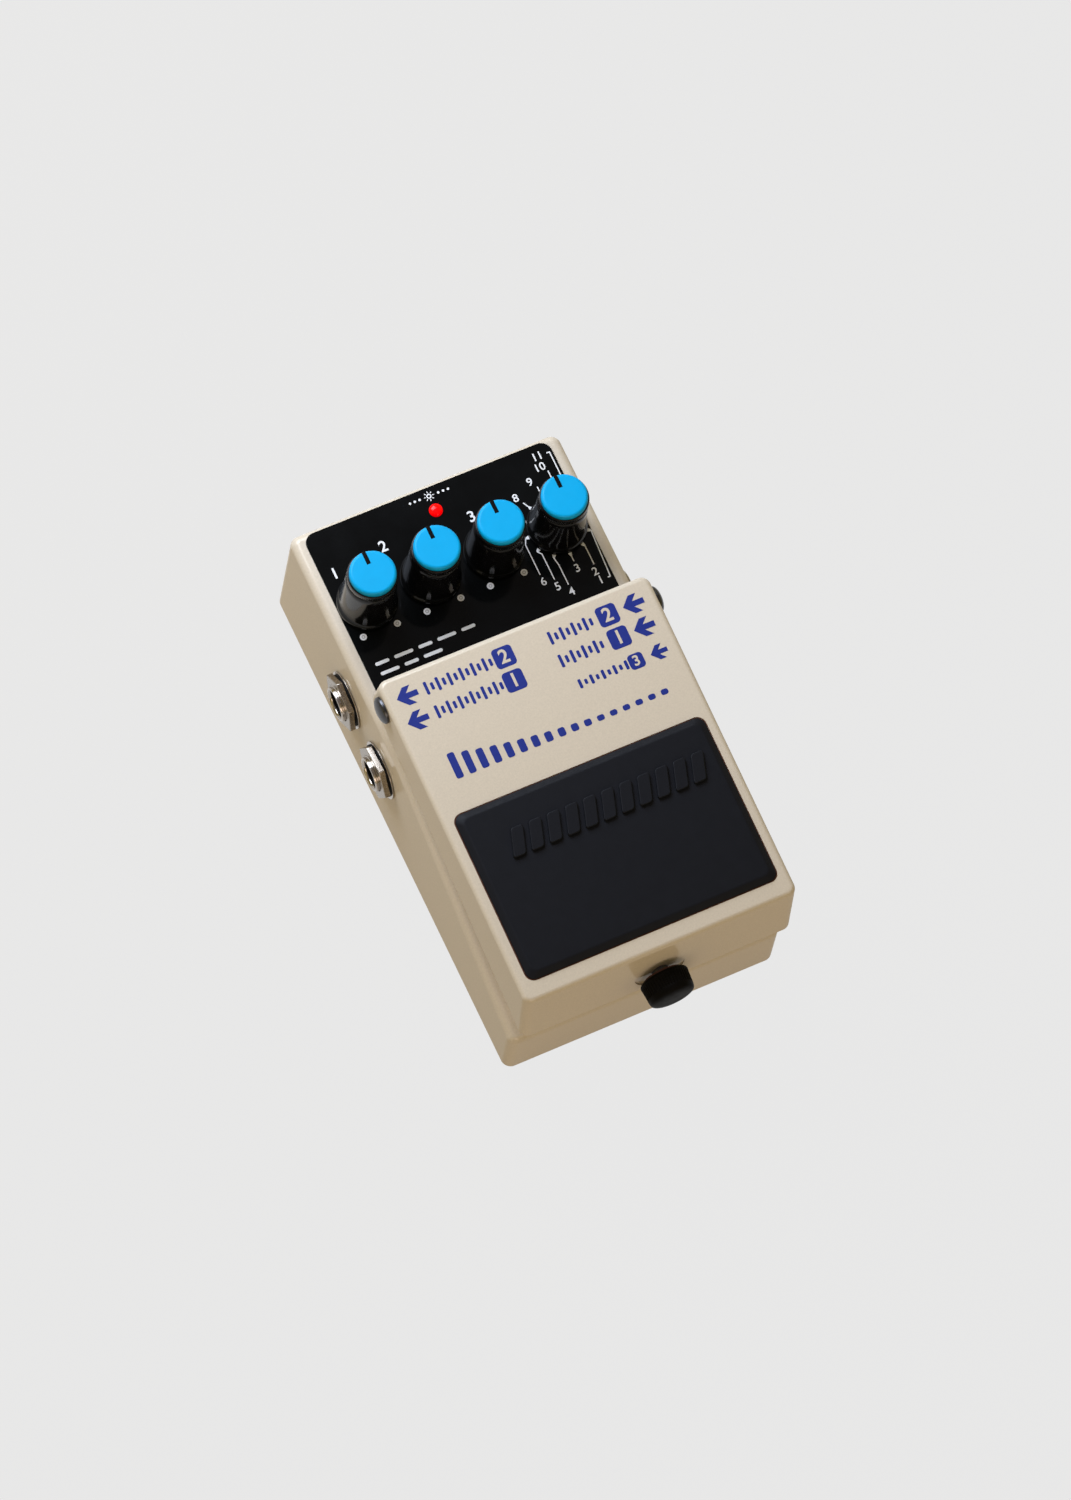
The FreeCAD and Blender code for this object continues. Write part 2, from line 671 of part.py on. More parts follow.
def make_hinge():
    pins = []
    washers = []
    skirt_in = size("treadle_half") - size("treadle_skirt")
    for side in SIDES:
        name = "left" if side < 0 else "right"
        pin = new_body("hinge_pin_" + name)
        head_in = size("treadle_half") + 0.15
        turn(pin,
             (0.0, size("ear_inner") + 0.8), (size("hinge_shank"), size("ear_inner") + 0.8),
             (size("hinge_shank"), size("raised_half") + 0.1),
             (size("hinge_shoulder"), size("raised_half") + 0.1),
             (size("hinge_shoulder"), head_in), (size("hinge_head"), head_in),
             (size("hinge_head"), size("hinge_head_out") - 0.7),
             (size("hinge_head") - 0.8, size("hinge_head_out") - 0.1),
             (1.1, size("hinge_head_out")), (0.0, size("hinge_head_out")))
        place(pin, 0.0, hinge_y, hinge_z, Vector(0, 1, 0), 90.0 * side)
        pins.append(pin)
        washer = new_body("hinge_washer_" + name)
        turn(washer,
             (size("hinge_shoulder") + gap, size("raised_half") + 0.1),
             (2.45, size("raised_half") + 0.1), (2.45, skirt_in - 0.1),
             (size("hinge_shoulder") + gap, skirt_in - 0.1))
        place(washer, 0.0, hinge_y, hinge_z, Vector(0, 1, 0), 90.0 * side)
        washers.append(washer)
    return [group("hinge_pins", pins), group("hinge_washers", washers)]


# Thumbscrew along -Y: a moulded head on a steel shank, with a fibre washer behind the head

def make_thumbscrew():
    back = size("thumb_back")
    tip = size("thumb_tip")
    head = new_body("thumbscrew_head")
    length = size("thumb_head_length")
    turn(head,
         (size("thumb_shank"), 0.0), (size("thumb_head") - 0.5, 0.0), (size("thumb_head"), 0.5),
         (size("thumb_head_front"), length - 1.2), (size("thumb_head_front") - 1.2, length - 0.25),
         (0.0, length), (0.0, length - 2.0), (size("thumb_shank"), length - 2.0))
    place(head, 0.0, back, size("thumb_height"), Vector(1, 0, 0), 90.0)

    shank = new_body("thumbscrew_shank")
    reach = tip - back
    turn(shank,
         (0.0, -reach), (size("thumb_nose") - 0.5, -reach), (size("thumb_nose"), -reach + 0.5),
         (size("thumb_nose"), -reach + 1.6), (size("thumb_shank"), -reach + 1.8),
         (size("thumb_shank"), length - 2.0), (0.0, length - 2.0))
    place(shank, 0.0, back, size("thumb_height"), Vector(1, 0, 0), 90.0)

    washer = new_body("thumbscrew_washer")
    turn(washer,
         (size("thumb_shank") + gap, -0.5), (4.4, -0.5), (4.4, -0.05), (size("thumb_shank") + gap, -0.05))
    place(washer, 0.0, back, size("thumb_height"), Vector(1, 0, 0), 90.0)

    bush = new_body("guide_bush")
    slot_low = size("slot_bottom")
    slot_high = size("slot_top")
    face = size("raised_front") - 0.6
    pad(bush, "XZ_Plane", face, size("raised_front"), slot(
        0.0, slot_low - 2.2, slot_high + 2.0, size("slot_half") + 2.1))
    pad(bush, "XZ_Plane", size("raised_front"), size("bay_front"), slot(
        0.0, slot_low - 0.95, slot_high + 0.95, size("slot_half") + 0.95))
    pocket(bush, "XZ_Plane", face - 1.0, size("bay_front") + 1.0, slot(
        0.0, slot_low, slot_high, size("slot_half")))
    return [head, shank, washer, bush]


# Return spring: one open helix of round wire, its curls worked out as pairs of tangent arcs

def arc_between(start, tangent, end):
    chord = end - start
    along = Vector(chord).normalize()
    side = tangent - along * tangent.dot(along)
    bulge = math.tan(tangent.getAngle(along) / 2)
    crown = (start + end) / 2 + side.normalize() * (chord.Length / 2 * bulge)
    return Part.Arc(start, crown, end).toShape()


def pair_of_arcs(start, start_tangent, end, end_tangent):
    reach = end - start
    total = start_tangent + end_tangent
    a = 2 * (start_tangent.dot(end_tangent) - 1)
    b = -2 * reach.dot(total)
    c = reach.dot(reach)
    arm = (-b - math.sqrt(b * b - 4 * a * c)) / (2 * a)
    first = start + start_tangent * arm
    second = end - end_tangent * arm
    joint = (first + second) / 2
    joint_tangent = (second - first).normalize()
    return [arc_between(start, start_tangent, joint), arc_between(joint, joint_tangent, end)]


def make_spring():
    mean = numbers["spring_mean"]
    wire = numbers["spring_wire"]
    turns = numbers["spring_turns"]
    y = numbers["spring_y"]
    foot = numbers["roof_top"] + wire + 0.05
    top = plain(treadle_under(size("spring_y"))) - wire - numbers["spring_seat"] - 0.6
    rise = (top - foot) / turns

    def point(angle):
        return Vector(mean * math.cos(angle), y + mean * math.sin(angle), foot + rise * angle / (2 * math.pi))

    def tangent(angle):
        slope = Vector(-mean * math.sin(angle), mean * math.cos(angle), rise / (2 * math.pi))
        return slope.normalize()

    edges = []
    for step in range(int(turns * 2)):
        low = step * math.pi
        high = low + math.pi
        edges += pair_of_arcs(point(low), tangent(low), point(high), tangent(high))
    path = Part.Wire(edges)
    section = Part.Wire([Part.makeCircle(wire, point(0.0), tangent(0.0))])
    coil = doc.addObject("Part::Feature", "return_spring")
    coil.Label = "return_spring"
    coil.Shape = path.makePipeShell([section], True, False)
    coil.Placement = Placement()
    samples = [point(index * math.pi / 18) for index in range(int(turns * 36) + 1)]
    least = min((samples[i] - samples[j]).Length
                for i in range(len(samples)) for j in range(i + 30, len(samples)))
    print("least gap of the spring to itself %.2f mm" % (least - 2 * wire))

    # The seat turns with the treadle as it is pressed and stays on the spring as it is opened
    seat = new_body("spring_seat")
    thick = size("spring_seat")
    hole = size("spring_seat_hole")
    outer = size("spring_seat_radius")
    turn(seat,
         (hole, -thick), (outer - thick, -thick), (outer - thick, -3.0 * thick),
         (outer, -3.0 * thick), (outer, -0.5 * thick), (outer - 0.5 * thick, 0.0), (hole, 0.0))
    seat_height = treadle_under(size("spring_y")) - 0.05
    place(seat, 0.0, size("spring_y"), seat_height, Vector(1, 0, 0), size("treadle_tilt"))
    return [coil, seat]


# Foot switch on its own small board under the shelf

def make_switch():
    housing = new_body("foot_switch")
    housing_top = roof_under - 0.2
    housing_foot = roof_under - 4.0
    pad(housing, "XY_Plane", housing_foot, housing_top, rectangle(
        -6.0, 6.0, switch_y - 6.0, switch_y + 6.0))
    pocket(housing, "XY_Plane", housing_foot + 1.5, housing_top + 1.0, circle(
        0.0, switch_y, size("switch_plunger") + gap))
    plunger = new_body("switch_plunger")
    turn(plunger,
         (0.0, housing_foot + 2.4), (size("switch_plunger"), housing_foot + 2.4),
         (size("switch_plunger"), size("plunger_top") - 0.3),
         (size("switch_plunger") - 0.3, size("plunger_top")), (0.0, size("plunger_top")))
    place(plunger, 0.0, switch_y, 0.0)
    board = box("switch_board", -11.0, 11.0,
                switch_y - 8.0, switch_y + 7.0, housing_foot - 1.6, housing_foot)
    return [housing, plunger, board]


# Controls: three potentiometers and one rotary switch, each with its shaft, nut and knob

CONTROLS = ["level", "feedback", "time", "mode"]


def make_control(name, x):
    deep = size("deck_thickness") + 0.55
    body_height = 5.4
    width = 5.6 if name == "mode" else 4.75
    pot = new_body(name + "_control")
    pad(pot, "XY_Plane", -deep - body_height, -deep, rectangle(
        -width, width, -5.6, 6.4))
    pad(pot, "XY_Plane", -deep - 0.5, 2.3, circle(0.0, 0.0, size("bushing_radius")))
    pocket(pot, "XY_Plane", -deep - 3.0, 3.0, circle(0.0, 0.0, size("shaft_radius") + gap))
    on_deck(pot, x, size("knob_row"))

    shaft = new_body(name + "_shaft")
    shaft_top = size("knob_height") - size("cap_depth") - 1.2
    turn(shaft,
         (0.0, -deep - 2.8), (size("shaft_radius"), -deep - 2.8),
         (size("shaft_radius"), shaft_top - 0.5), (size("shaft_radius") - 0.5, shaft_top), (0.0, shaft_top))
    on_deck(shaft, x, size("knob_row"))

    nut = new_body(name + "_nut")
    nut_foot = size("label_thickness") + 0.05
    pad(nut, "XY_Plane", nut_foot, nut_foot + 1.6, hexagon(4.9, 0.0))
    pocket(nut, "XY_Plane", -1.0, 4.0, circle(0.0, 0.0, size("bushing_radius") + 0.02))
    on_deck(nut, x, size("knob_row"))

    knob = new_body(name + "_knob")
    collar_top = size("knob_height") - size("cap_depth")
    turn(knob,
         (0.0, 2.5), (5.9, 2.5), (5.9, 0.7), (size("knob_foot"), 0.7), (size("knob_foot"), 1.9),
         (size("knob_waist"), 2.5), (size("knob_collar"), collar_top - 0.4),
         (size("knob_collar") - 0.4, collar_top), (0.0, collar_top))
    pocket(knob, "XY_Plane", 1.0, shaft_top + 0.05, circle(0.0, 0.0, size("shaft_radius") + 0.02))
    half_pointer = size("pointer_width") / 2
    pad(knob, "XY_Plane", collar_top - 0.5, size("knob_height") - 0.05, rectangle(
        -half_pointer, half_pointer, size("pointer_inner"), size("cap_radius") - 0.15))
    on_deck(knob, x, size("knob_row"))

    cap = new_body(name + "_cap")
    turn(cap,
         (0.0, collar_top), (size("cap_radius"), collar_top), (size("cap_radius"), size("knob_height") - 0.5),
         (size("cap_radius") - 0.5, size("knob_height")), (0.0, size("knob_height")))
    pocket(cap, "XY_Plane", collar_top - 1.0, size("knob_height") + 1.0, rectangle(
        -half_pointer - 0.03, half_pointer + 0.03, size("pointer_inner") - 0.03, size("cap_radius") + 1.0))
    on_deck(cap, x, size("knob_row"))
    return [pot, shaft, knob, cap], nut


def make_controls():
    nodes = []
    nuts = []
    for name, x in zip(CONTROLS, knob_places):
        pieces, nut = make_control(name, x)
        nodes += pieces
        nuts.append(nut)
    return nodes + [group("control_nuts", nuts)]


# Jacks: a moulded body inside, a threaded bushing through the wall, a washer and a hexagonal nut

def make_jacks():
    nodes = []
    washers = []
    nuts = []
    names = ["left_rear", "left_front", "right_rear", "right_middle", "right_front"]
    wall_in = half_width - size("wall") - 0.15
    wall_out = half_width - 0.02
    board_top = 9.6
    nut_turn = 0.3
    for name, (side, y) in zip(names, jack_places):
        jack = new_body(name + "_jack")
        body_half = 5.7
        pad(jack, "XY_Plane", wall_in - size("jack_depth"), wall_in, rectangle(
            -5.75, 5.75, -body_half, body_half))
        pad(jack, "XY_Plane", wall_in - 1.0, size("jack_out"), circle(0.0, 0.0, size("jack_thread")))
        pocket(jack, "XY_Plane", wall_in - size("jack_depth") + 2.0, size("jack_out") + 1.0, circle(
            0.0, 0.0, size("jack_bore")))
        leg = size("jack_height") - board_top
        leg_start = side * (body_half - 0.5)
        pad(jack, "XY_Plane", wall_in - 16.0, wall_in - 8.0, polygon(
            (leg_start, -4.0), (side * leg, -4.0), (side * leg, 4.0), (leg_start, 4.0)))
        place(jack, 0.0, y, size("jack_height"), Vector(0, 1, 0), 90.0 * side)
        nodes.append(jack)
        washer = new_body(name + "_washer")
        turn(washer,
             (size("jack_thread") + gap, wall_out), (size("jack_washer"), wall_out),
             (size("jack_washer"), wall_out + 0.7), (size("jack_thread") + gap, wall_out + 0.7))
        place(washer, 0.0, y, size("jack_height"), Vector(0, 1, 0), 90.0 * side)
        washers.append(washer)
        nut = new_body(name + "_nut")
        pad(nut, "XY_Plane", wall_out + 0.72, wall_out + 2.3, hexagon(size("jack_nut"), nut_turn))
        pocket(nut, "XY_Plane", wall_out, wall_out + 3.0, circle(0.0, 0.0, size("jack_thread") + gap))
        place(nut, 0.0, y, size("jack_height"), Vector(0, 1, 0), 90.0 * side)
        nuts.append(nut)
    return nodes + [group("jack_washers", washers), group("jack_nuts", nuts)]


def make_power_inlet():
    inlet = new_body("power_inlet")
    wall_in = half_length - size("wall") - 1.0
    pad(inlet, "XZ_Plane", wall_in - 12.0, wall_in, rectangle(
        -4.5, 4.5, size("power_height") - 5.5, size("power_height") + 5.5))
    pad(inlet, "XZ_Plane", wall_in - 10.0, wall_in - 2.0, rectangle(
        -3.5, 3.5, 9.6, size("power_height") - 5.0))
    pad(inlet, "XZ_Plane", wall_in - 1.0, half_length - 0.6, circle(0.0, size("power_height"), 4.0))
    pocket(inlet, "XZ_Plane", wall_in - 9.0, half_length + 1.0, circle(0.0, size("power_height"), 3.15))
    pad(inlet, "XZ_Plane", wall_in - 9.5, half_length - 1.2, circle(0.0, size("power_height"), 1.0))
    return [inlet]


def make_panel():
    label = new_body("panel_plate")
    thick = size("label_thickness")
    middle_y = (size("label_front") + size("label_rear")) / 2
    reach = (size("label_rear") - size("label_front")) / 2
    pad(label, "XY_Plane", 0.01, thick, rectangle(
        -size("label_half"), size("label_half"), -reach, reach))
    round_edges(label, 2.6, lambda edge: (
        is_straight(edge) and abs(direction(edge).z) > 0.9 and middle(edge).y > 0))
    pocket(label, "XY_Plane", -1.0, thick + 1.0, shapes(
        *[circle(x, size("knob_row") - middle_y, size("bushing_radius") + 0.15) for x in knob_places],
        circle(0.0, size("led_y") - middle_y, size("led_radius") + 0.05)))
    on_deck(label, 0.0, middle_y)

    lamp = new_body("indicator_lamp")
    turn(lamp,
         (0.0, -6.4), (1.9, -6.4), (1.9, -5.6), (size("led_radius"), -5.6),
         (size("led_radius"), 0.5), (1.25, 1.0), (0.7, 1.3), (0.0, 1.4))
    on_deck(lamp, 0.0, size("led_y"))
    holder = new_body("lamp_holder")
    turn(holder,
         (size("led_radius") + 0.05, -5.5), (2.6, -5.5), (2.6, -3.4), (size("led_radius") + 0.05, -3.4))
    on_deck(holder, 0.0, size("led_y"))
    return [label, lamp, holder]


# Boards inside: the panel board hangs on the controls, the main board on the jacks

def make_boards():
    board_top = 9.6
    pot_foot = size("deck_thickness") + 0.55 + 5.4
    panel_top = deck_height(size("knob_row")) - pot_foot - 0.15
    panel = box("panel_board", -half_width + 5.0, half_width - 5.0, 9.0, 52.0,
                panel_top - 1.2, panel_top)
    main = box("main_board", -half_width + 4.0, half_width - 4.0, size("bay_rear") + 4.0, 53.0,
               board_top - 1.6, board_top)
    film = box("insulating_sheet", -half_width + 3.5, half_width - 3.5, size("bay_rear") + 3.5,
               53.5, case_foot + 0.05, case_foot + 0.3)
    return [panel, main, film]


# Battery lying across the bay, with its snap connector at one end on a foam strip

def make_battery():
    left = -size("bay_half") + 0.8
    front = size("bay_front") + 2.3
    foot = case_foot + 1.55
    foam = box("battery_foam", left, left + size("battery_length"), front + 3.0,
               front + size("battery_depth") - 3.0, case_foot + 0.05, case_foot + 1.5)
    battery = new_body("battery")
    pad(battery, "XY_Plane", foot, foot + size("battery_height"), rectangle(
        left, left + size("battery_length"), front, front + size("battery_depth")))
    round_edges(battery, 1.5, lambda edge: is_straight(edge) and abs(direction(edge).x) > 0.9)
    snap = new_body("battery_snap")
    end = left + size("battery_length") + 0.1
    pad(snap, "YZ_Plane", end, end + 3.2, rectangle(
        front + 1.5, front + size("battery_depth") - 1.5, foot + 2.5, foot + size("battery_height") - 2.5))
    return [foam, battery, snap]


nodes = [make_case()]
nodes += make_base()
nodes += make_treadle()
nodes += make_hinge()
nodes += make_thumbscrew()
nodes += make_spring()
nodes += make_switch()
nodes += make_controls()
nodes += make_jacks()
nodes += make_power_inlet()
nodes += make_panel()
nodes += make_boards()
nodes += make_battery()
doc.recompute()

for thing in doc.Objects:
    if "Invalid" in thing.State or "Error" in thing.State:
        raise RuntimeError("%s did not build: %s" % (thing.Label, thing.State))
os.makedirs("parts", exist_ok=True)
for node in nodes:
    if node.Shape.isNull() or not node.Shape.isValid():
        raise RuntimeError("%s has no valid shape" % node.Label)
    node.Shape.exportStep("parts/%s.step" % node.Label)
print("%d nodes written" % len(nodes))
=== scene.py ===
import math

import bmesh
import bpy
from mathutils import Matrix, Vector
from mathutils.geometry import tessellate_polygon


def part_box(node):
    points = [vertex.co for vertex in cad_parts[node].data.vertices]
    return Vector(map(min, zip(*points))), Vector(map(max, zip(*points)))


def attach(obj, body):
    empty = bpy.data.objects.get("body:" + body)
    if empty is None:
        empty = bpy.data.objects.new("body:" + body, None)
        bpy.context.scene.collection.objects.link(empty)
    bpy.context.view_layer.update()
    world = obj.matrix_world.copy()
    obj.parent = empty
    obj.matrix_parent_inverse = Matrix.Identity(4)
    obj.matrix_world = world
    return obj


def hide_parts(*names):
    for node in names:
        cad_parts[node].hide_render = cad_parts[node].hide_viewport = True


# A compact foot pedal for delay effects, in its finished look.
# Lengths are in millimetres in the object's own frame: X right, Y to the rear, Z up.
# Order of this file: dimensions, places, shapes, pieces, materials, camera, stage, one section for each
# group of pieces, and the finishes of the solids that stay as they are.

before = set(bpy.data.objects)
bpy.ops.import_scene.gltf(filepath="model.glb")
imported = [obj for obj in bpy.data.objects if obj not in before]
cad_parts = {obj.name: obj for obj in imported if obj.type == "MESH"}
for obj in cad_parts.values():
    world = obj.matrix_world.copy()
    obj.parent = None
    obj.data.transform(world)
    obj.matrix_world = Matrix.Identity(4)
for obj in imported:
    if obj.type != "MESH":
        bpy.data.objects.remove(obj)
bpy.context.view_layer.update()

MM = 0.001
TAU = 2 * math.pi

# Slopes and levels of the deck and the treadle
DECK_START = 4.0
DECK_FRONT = 37.6
DECK_TILT = math.radians(0.865)
LABEL_THICKNESS = 0.3
TREADLE_FRONT = -62.6
TREADLE_HEIGHT = 48.2
TREADLE_TILT = math.radians(4.18)
INK = 0.03

# Controls on the deck: four knobs in a row and a lamp behind them
CONTROLS = ["level", "feedback", "time", "mode"]
KNOB_ROW = 40.2
KNOB_PITCH = 15.68
KNOB_PLACES = [(index - 1.5) * KNOB_PITCH for index in range(4)]
DIAL_SWING = 150
LAMP_Y = 54.3
LAMP_RADIUS = 1.55

# A knob: its cap, fluted collar, tapering skirt and foot
KNOB_HEIGHT = 18.9
CAP_DEPTH = 2.4
CAP_RADIUS = 5.3
CAP_ROUNDING = 0.75
COLLAR_RADIUS = 5.68
COLLAR_RISE = 0.95
COLLAR_HEIGHT = 2.3
COLLAR_RIBS = 72
WAIST_RADIUS = 6.35
WAIST_HEIGHT = 2.7
FOOT_RADIUS = 6.9
POINTER_WIDTH = 0.9
POINTER_INNER = 2.1
POINTER_GAP = 0.03

# Side sockets: side and Y of each. Wall, rim, liner of painted shade and body are places out from the
# middle plane
JACK_HEIGHT = 21.65
JACKS = {
    "left_rear": (-1, 26.2),
    "left_front": (-1, 7.9),
    "right_rear": (1, 26.2),
    "right_middle": (1, 7.9),
    "right_front": (1, -10.4),
}
JACK_WALL = 33.63
JACK_OUT = 36.7
JACK_SHADE_LINER_IN = 31.7
JACK_BODY_OUT = 31.3
JACK_BODY_DEPTH = 24.0
JACK_BODY_HALF_WIDTH = 5.75
JACK_BODY_HALF_HEIGHT = 5.7
JACK_THREAD = 4.25
JACK_THREAD_PITCH = 0.75
JACK_BORE = 3.25
WASHER_BORE = 4.35
WASHER_RADIUS = 6.95
WASHER_THICKNESS = 0.36
# Outer radius of the near-black ring of painted shade between washer and nut
SHADE_RING_RADIUS = 6.3

# A socket's nut: width across flats, places out from the wall, and turns
NUT_FLATS = 12.0
NUT_START = 0.72
NUT_END = 2.15
NUT_TURN = 0.30
NUT_TURN_STEP = 0.37

# Hinge pins: their axis, places out from the middle plane, and radii
HINGE_Y = 11.9
HINGE_Z = 49.1
HINGE_INNER = 27.0
HINGE_STEP = 30.8
HINGE_HEAD_IN = 33.35
HINGE_HEAD_RIM = 0.35
HINGE_OUT = 34.9
HINGE_SHANK = 1.25
HINGE_SHOULDER = 2.0
HINGE_HEAD = 3.15

# Thumbscrew's head
THUMB_BACK = -65.4
THUMB_HEIGHT = 36.4
THUMB_LENGTH = 5.8
THUMB_BORE = 2.1
THUMB_FRONT_RADIUS = 5.3
THUMB_DOME = 1.0
THUMB_RIBS = 48

# Rubber tread, by its distance along the treadle, and its slanted grip bars
TREAD_HALF = 30.47
TREAD_START = 4.4
TREAD_LENGTH = 40.5
TREAD_CORNER = 2.0
TREAD_RISE = 1.0
TREAD_SEAT = -0.76
GRIP_BARS = 11
GRIP_LEFT = -19.6
GRIP_RIGHT = 24.4
GRIP_Y = -28.6
GRIP_HALF_WIDTH = 1.55
GRIP_HALF_LENGTH = 3.3
GRIP_LEAN = 0.32

# Bottom screws
SCREW_X = 29.3
SCREW_Y = 57.3
SCREW_HEAD = 2.7
SCREW_SHANK = 1.3
SCREW_LENGTH = 9.4


# Places

def at(x, y, z, angle=0.0, axis="X"):
    """A frame in millimetres at a point, turned about one axis."""
    move = Matrix.Translation(Vector((x, y, z)) * MM)
    return move @ Matrix.Rotation(angle, 4, axis) @ Matrix.Scale(MM, 4)


def deck_height(y):
    return DECK_FRONT + (y - DECK_START) * math.tan(DECK_TILT)


def on_deck(x, y):
    """A frame on the deck, whose Z axis stands square to it."""
    return at(x, y, deck_height(y), DECK_TILT)


def on_treadle():
    """A frame on the treadle's front edge, whose Y axis runs up along its top."""
    return at(0, TREADLE_FRONT, TREADLE_HEIGHT, TREADLE_TILT)


def along_treadle(y):
    """How far along the treadle's top a place with that Y is."""
    return (y - TREADLE_FRONT) / math.cos(TREADLE_TILT)


def outward(side, y, z):
    """A frame whose Z axis points out of a side wall, from the object's middle plane."""
    return at(0, y, z, side * math.pi / 2, "Y")


# Shapes: outlines and profiles, and solids as points and faces

def lathe(profile, segments=72, ripple=None, closed=False):
    """Turns (radius, height) pairs about Z. ripple(radius, height, angle) gives another radius."""
    points, rings = [], []
    for radius, height in profile:
        if radius == 0:
            rings.append([len(points)])
            points.append((0, 0, height))
            continue
        ring = []
        for step in range(segments):
            angle = TAU * step / segments
            reach = ripple(radius, height, angle) if ripple else radius
            ring.append(len(points))
            points.append((reach * math.cos(angle), reach * math.sin(angle), height))
        rings.append(ring)
    pairs = list(zip(rings, rings[1:]))
    if closed:
        pairs.append((rings[-1], rings[0]))
    faces = []
    for low, high in pairs:
        for step in range(segments):
            after = (step + 1) % segments
            if len(low) == 1 and len(high) == 1:
                break
            if len(low) == 1:
                faces.append((low[0], high[after], high[step]))
            elif len(high) == 1:
                faces.append((low[step], low[after], high[0]))
            else:
                faces.append((low[step], low[after], high[after], high[step]))
    return points, faces


def stack(outlines):
    """A solid through outlines of the same number of points, each a pair of (outline, height)."""
    points, faces = [], []
    count = len(outlines[0][0])
    for outline, height in outlines:
        points += [(x, y, height) for x, y in outline]
    for level in range(len(outlines) - 1):
        low, high = level * count, (level + 1) * count
        for step in range(count):
            after = (step + 1) % count
            faces.append((low + step, low + after, high + after, high + step))
    faces.append(tuple(reversed(range(count))))
    last = (len(outlines) - 1) * count
    faces.append(tuple(range(last, last + count)))
    return points, faces


def prism(outline, low, high, holes=()):
    """An upright solid on an outline, with holes right through."""
    if not holes:
        return stack([(outline, low), (outline, high)])
    loops = [outline, *holes]
    flat = [point for loop in loops for point in loop]
    count = len(flat)
    points = [(x, y, low) for x, y in flat] + [(x, y, high) for x, y in flat]
    faces = []
    for a, b, c in tessellate_polygon([[Vector((x, y, 0)) for x, y in loop] for loop in loops]):
        faces.append((a, b, c))
        faces.append((c + count, b + count, a + count))
    start = 0
    for loop in loops:
        for step in range(len(loop)):
            a, b = start + step, start + (step + 1) % len(loop)
            faces.append((a, b, b + count, a + count))
        start += len(loop)
    return points, faces


def thread(radius, depth, pitch, low, high, steps=36):
    """A thread's ridge: a triangle wound about Z, from one height to another, faded at both ends."""
    root = -0.08
    flank = 0.32
    fade_steps = 6
    section = [(root, -flank), (None, 0.0), (root, flank)]
    points, faces = [], []
    count = int((high - low) / pitch * steps)
    for index in range(count + 1):
        angle = TAU * index / steps
        height = low + pitch * index / steps
        crest = depth * min(1.0, index / fade_steps, (count - index) / fade_steps)
        for reach, offset in section:
            distance = radius + (crest if reach is None else reach)
            points.append((distance * math.cos(angle), distance * math.sin(angle), height + offset * pitch))
        if index:
            start = 3 * index
            for corner in range(3):
                after = (corner + 1) % 3
                faces.append((start - 3 + corner, start + corner, start + after, start - 3 + after))
    faces.append((0, 1, 2))
    last = 3 * count
    faces.append((last + 2, last + 1, last))
    return points, faces


def arc(x, y, radius, start, end, steps):
    """Points of an arc between two angles in degrees."""
    angles = [math.radians(start + (end - start) * step / steps) for step in range(steps + 1)]
    return [(x + radius * math.cos(angle), y + radius * math.sin(angle)) for angle in angles]


def disc(x, y, radius, steps=32):
    return arc(x, y, radius, 0, 360, steps)[:-1]


def rounded(x_low, x_high, y_low, y_high, radius, steps):
    """A rectangle with rounded corners."""
    return (arc(x_high - radius, y_low + radius, radius, -90, 0, steps)
            + arc(x_high - radius, y_high - radius, radius, 0, 90, steps)
            + arc(x_low + radius, y_high - radius, radius, 90, 180, steps)
            + arc(x_low + radius, y_low + radius, radius, 180, 270, steps))


def dome(radius, foot, rise, steps, fullness=1.0):
    """Profile points of a dome above its rim, up to the middle. A low fullness gives a flat top."""
    points = []
    for step in range(1, steps + 1):
        angle = math.pi / 2 * step / steps
        reach = radius * math.cos(angle) ** fullness if step < steps else 0
        points.append((reach, foot + rise * math.sin(angle)))
    return points


def fluted(count, depth, low, high):
    """Makes a ripple of that many grooves round a turned piece, between two heights."""
    def ripple(radius, height, angle):
        if not low <= height <= high:
            return radius
        return radius - depth * 0.5 * (1 + math.cos(count * angle))
    return ripple


def clock(angle, radius, x=0.0, y=0.0):
    """A point at an angle in degrees clockwise from the rear."""
    turn_angle = math.radians(angle)
    return x + radius * math.sin(turn_angle), y + radius * math.cos(turn_angle)


def ribbon(route, width):
    """The outline of a line of even width through points, with mitred corners."""
    left, right = [], []
    for index, point in enumerate(route):
        place = Vector(point)
        runs = []
        if index > 0:
            runs.append((place - Vector(route[index - 1])).normalized())
        if index < len(route) - 1:
            runs.append((Vector(route[index + 1]) - place).normalized())
        ahead = sum(runs, Vector((0, 0))).normalized()
        side = Vector((-ahead.y, ahead.x))
        reach = width / 2 / max(ahead.dot(runs[0]), 0.5)
        left.append(tuple(place + side * reach))
        right.append(tuple(place - side * reach))
    return right + left[::-1]


def digits(text, height, weight=0.016):
    """Plain numbers as a thin solid about the origin, made bolder by a share of their height."""
    capital_share = 0.73
    curve = bpy.data.curves.new("digits", "FONT")
    curve.body = text
    curve.size = height / capital_share
    curve.align_x = "CENTER"
    curve.align_y = "CENTER"
    curve.extrude = INK / 2
    curve.offset = weight * height
    curve.resolution_u = 4
    holder = bpy.data.objects.new("digits", curve)
    mesh = bpy.data.meshes.new_from_object(holder)
    points = [tuple(vertex.co + Vector((0, 0, INK / 2))) for vertex in mesh.vertices]
    faces = [tuple(face.vertices) for face in mesh.polygons]
    bpy.data.objects.remove(holder)
    bpy.data.meshes.remove(mesh)
    bpy.data.curves.remove(curve)
    return points, faces


def moved(part, x, y, z=0.0):
    points, faces = part
    return [(px + x, py + y, pz + z) for px, py, pz in points], faces


# Pieces

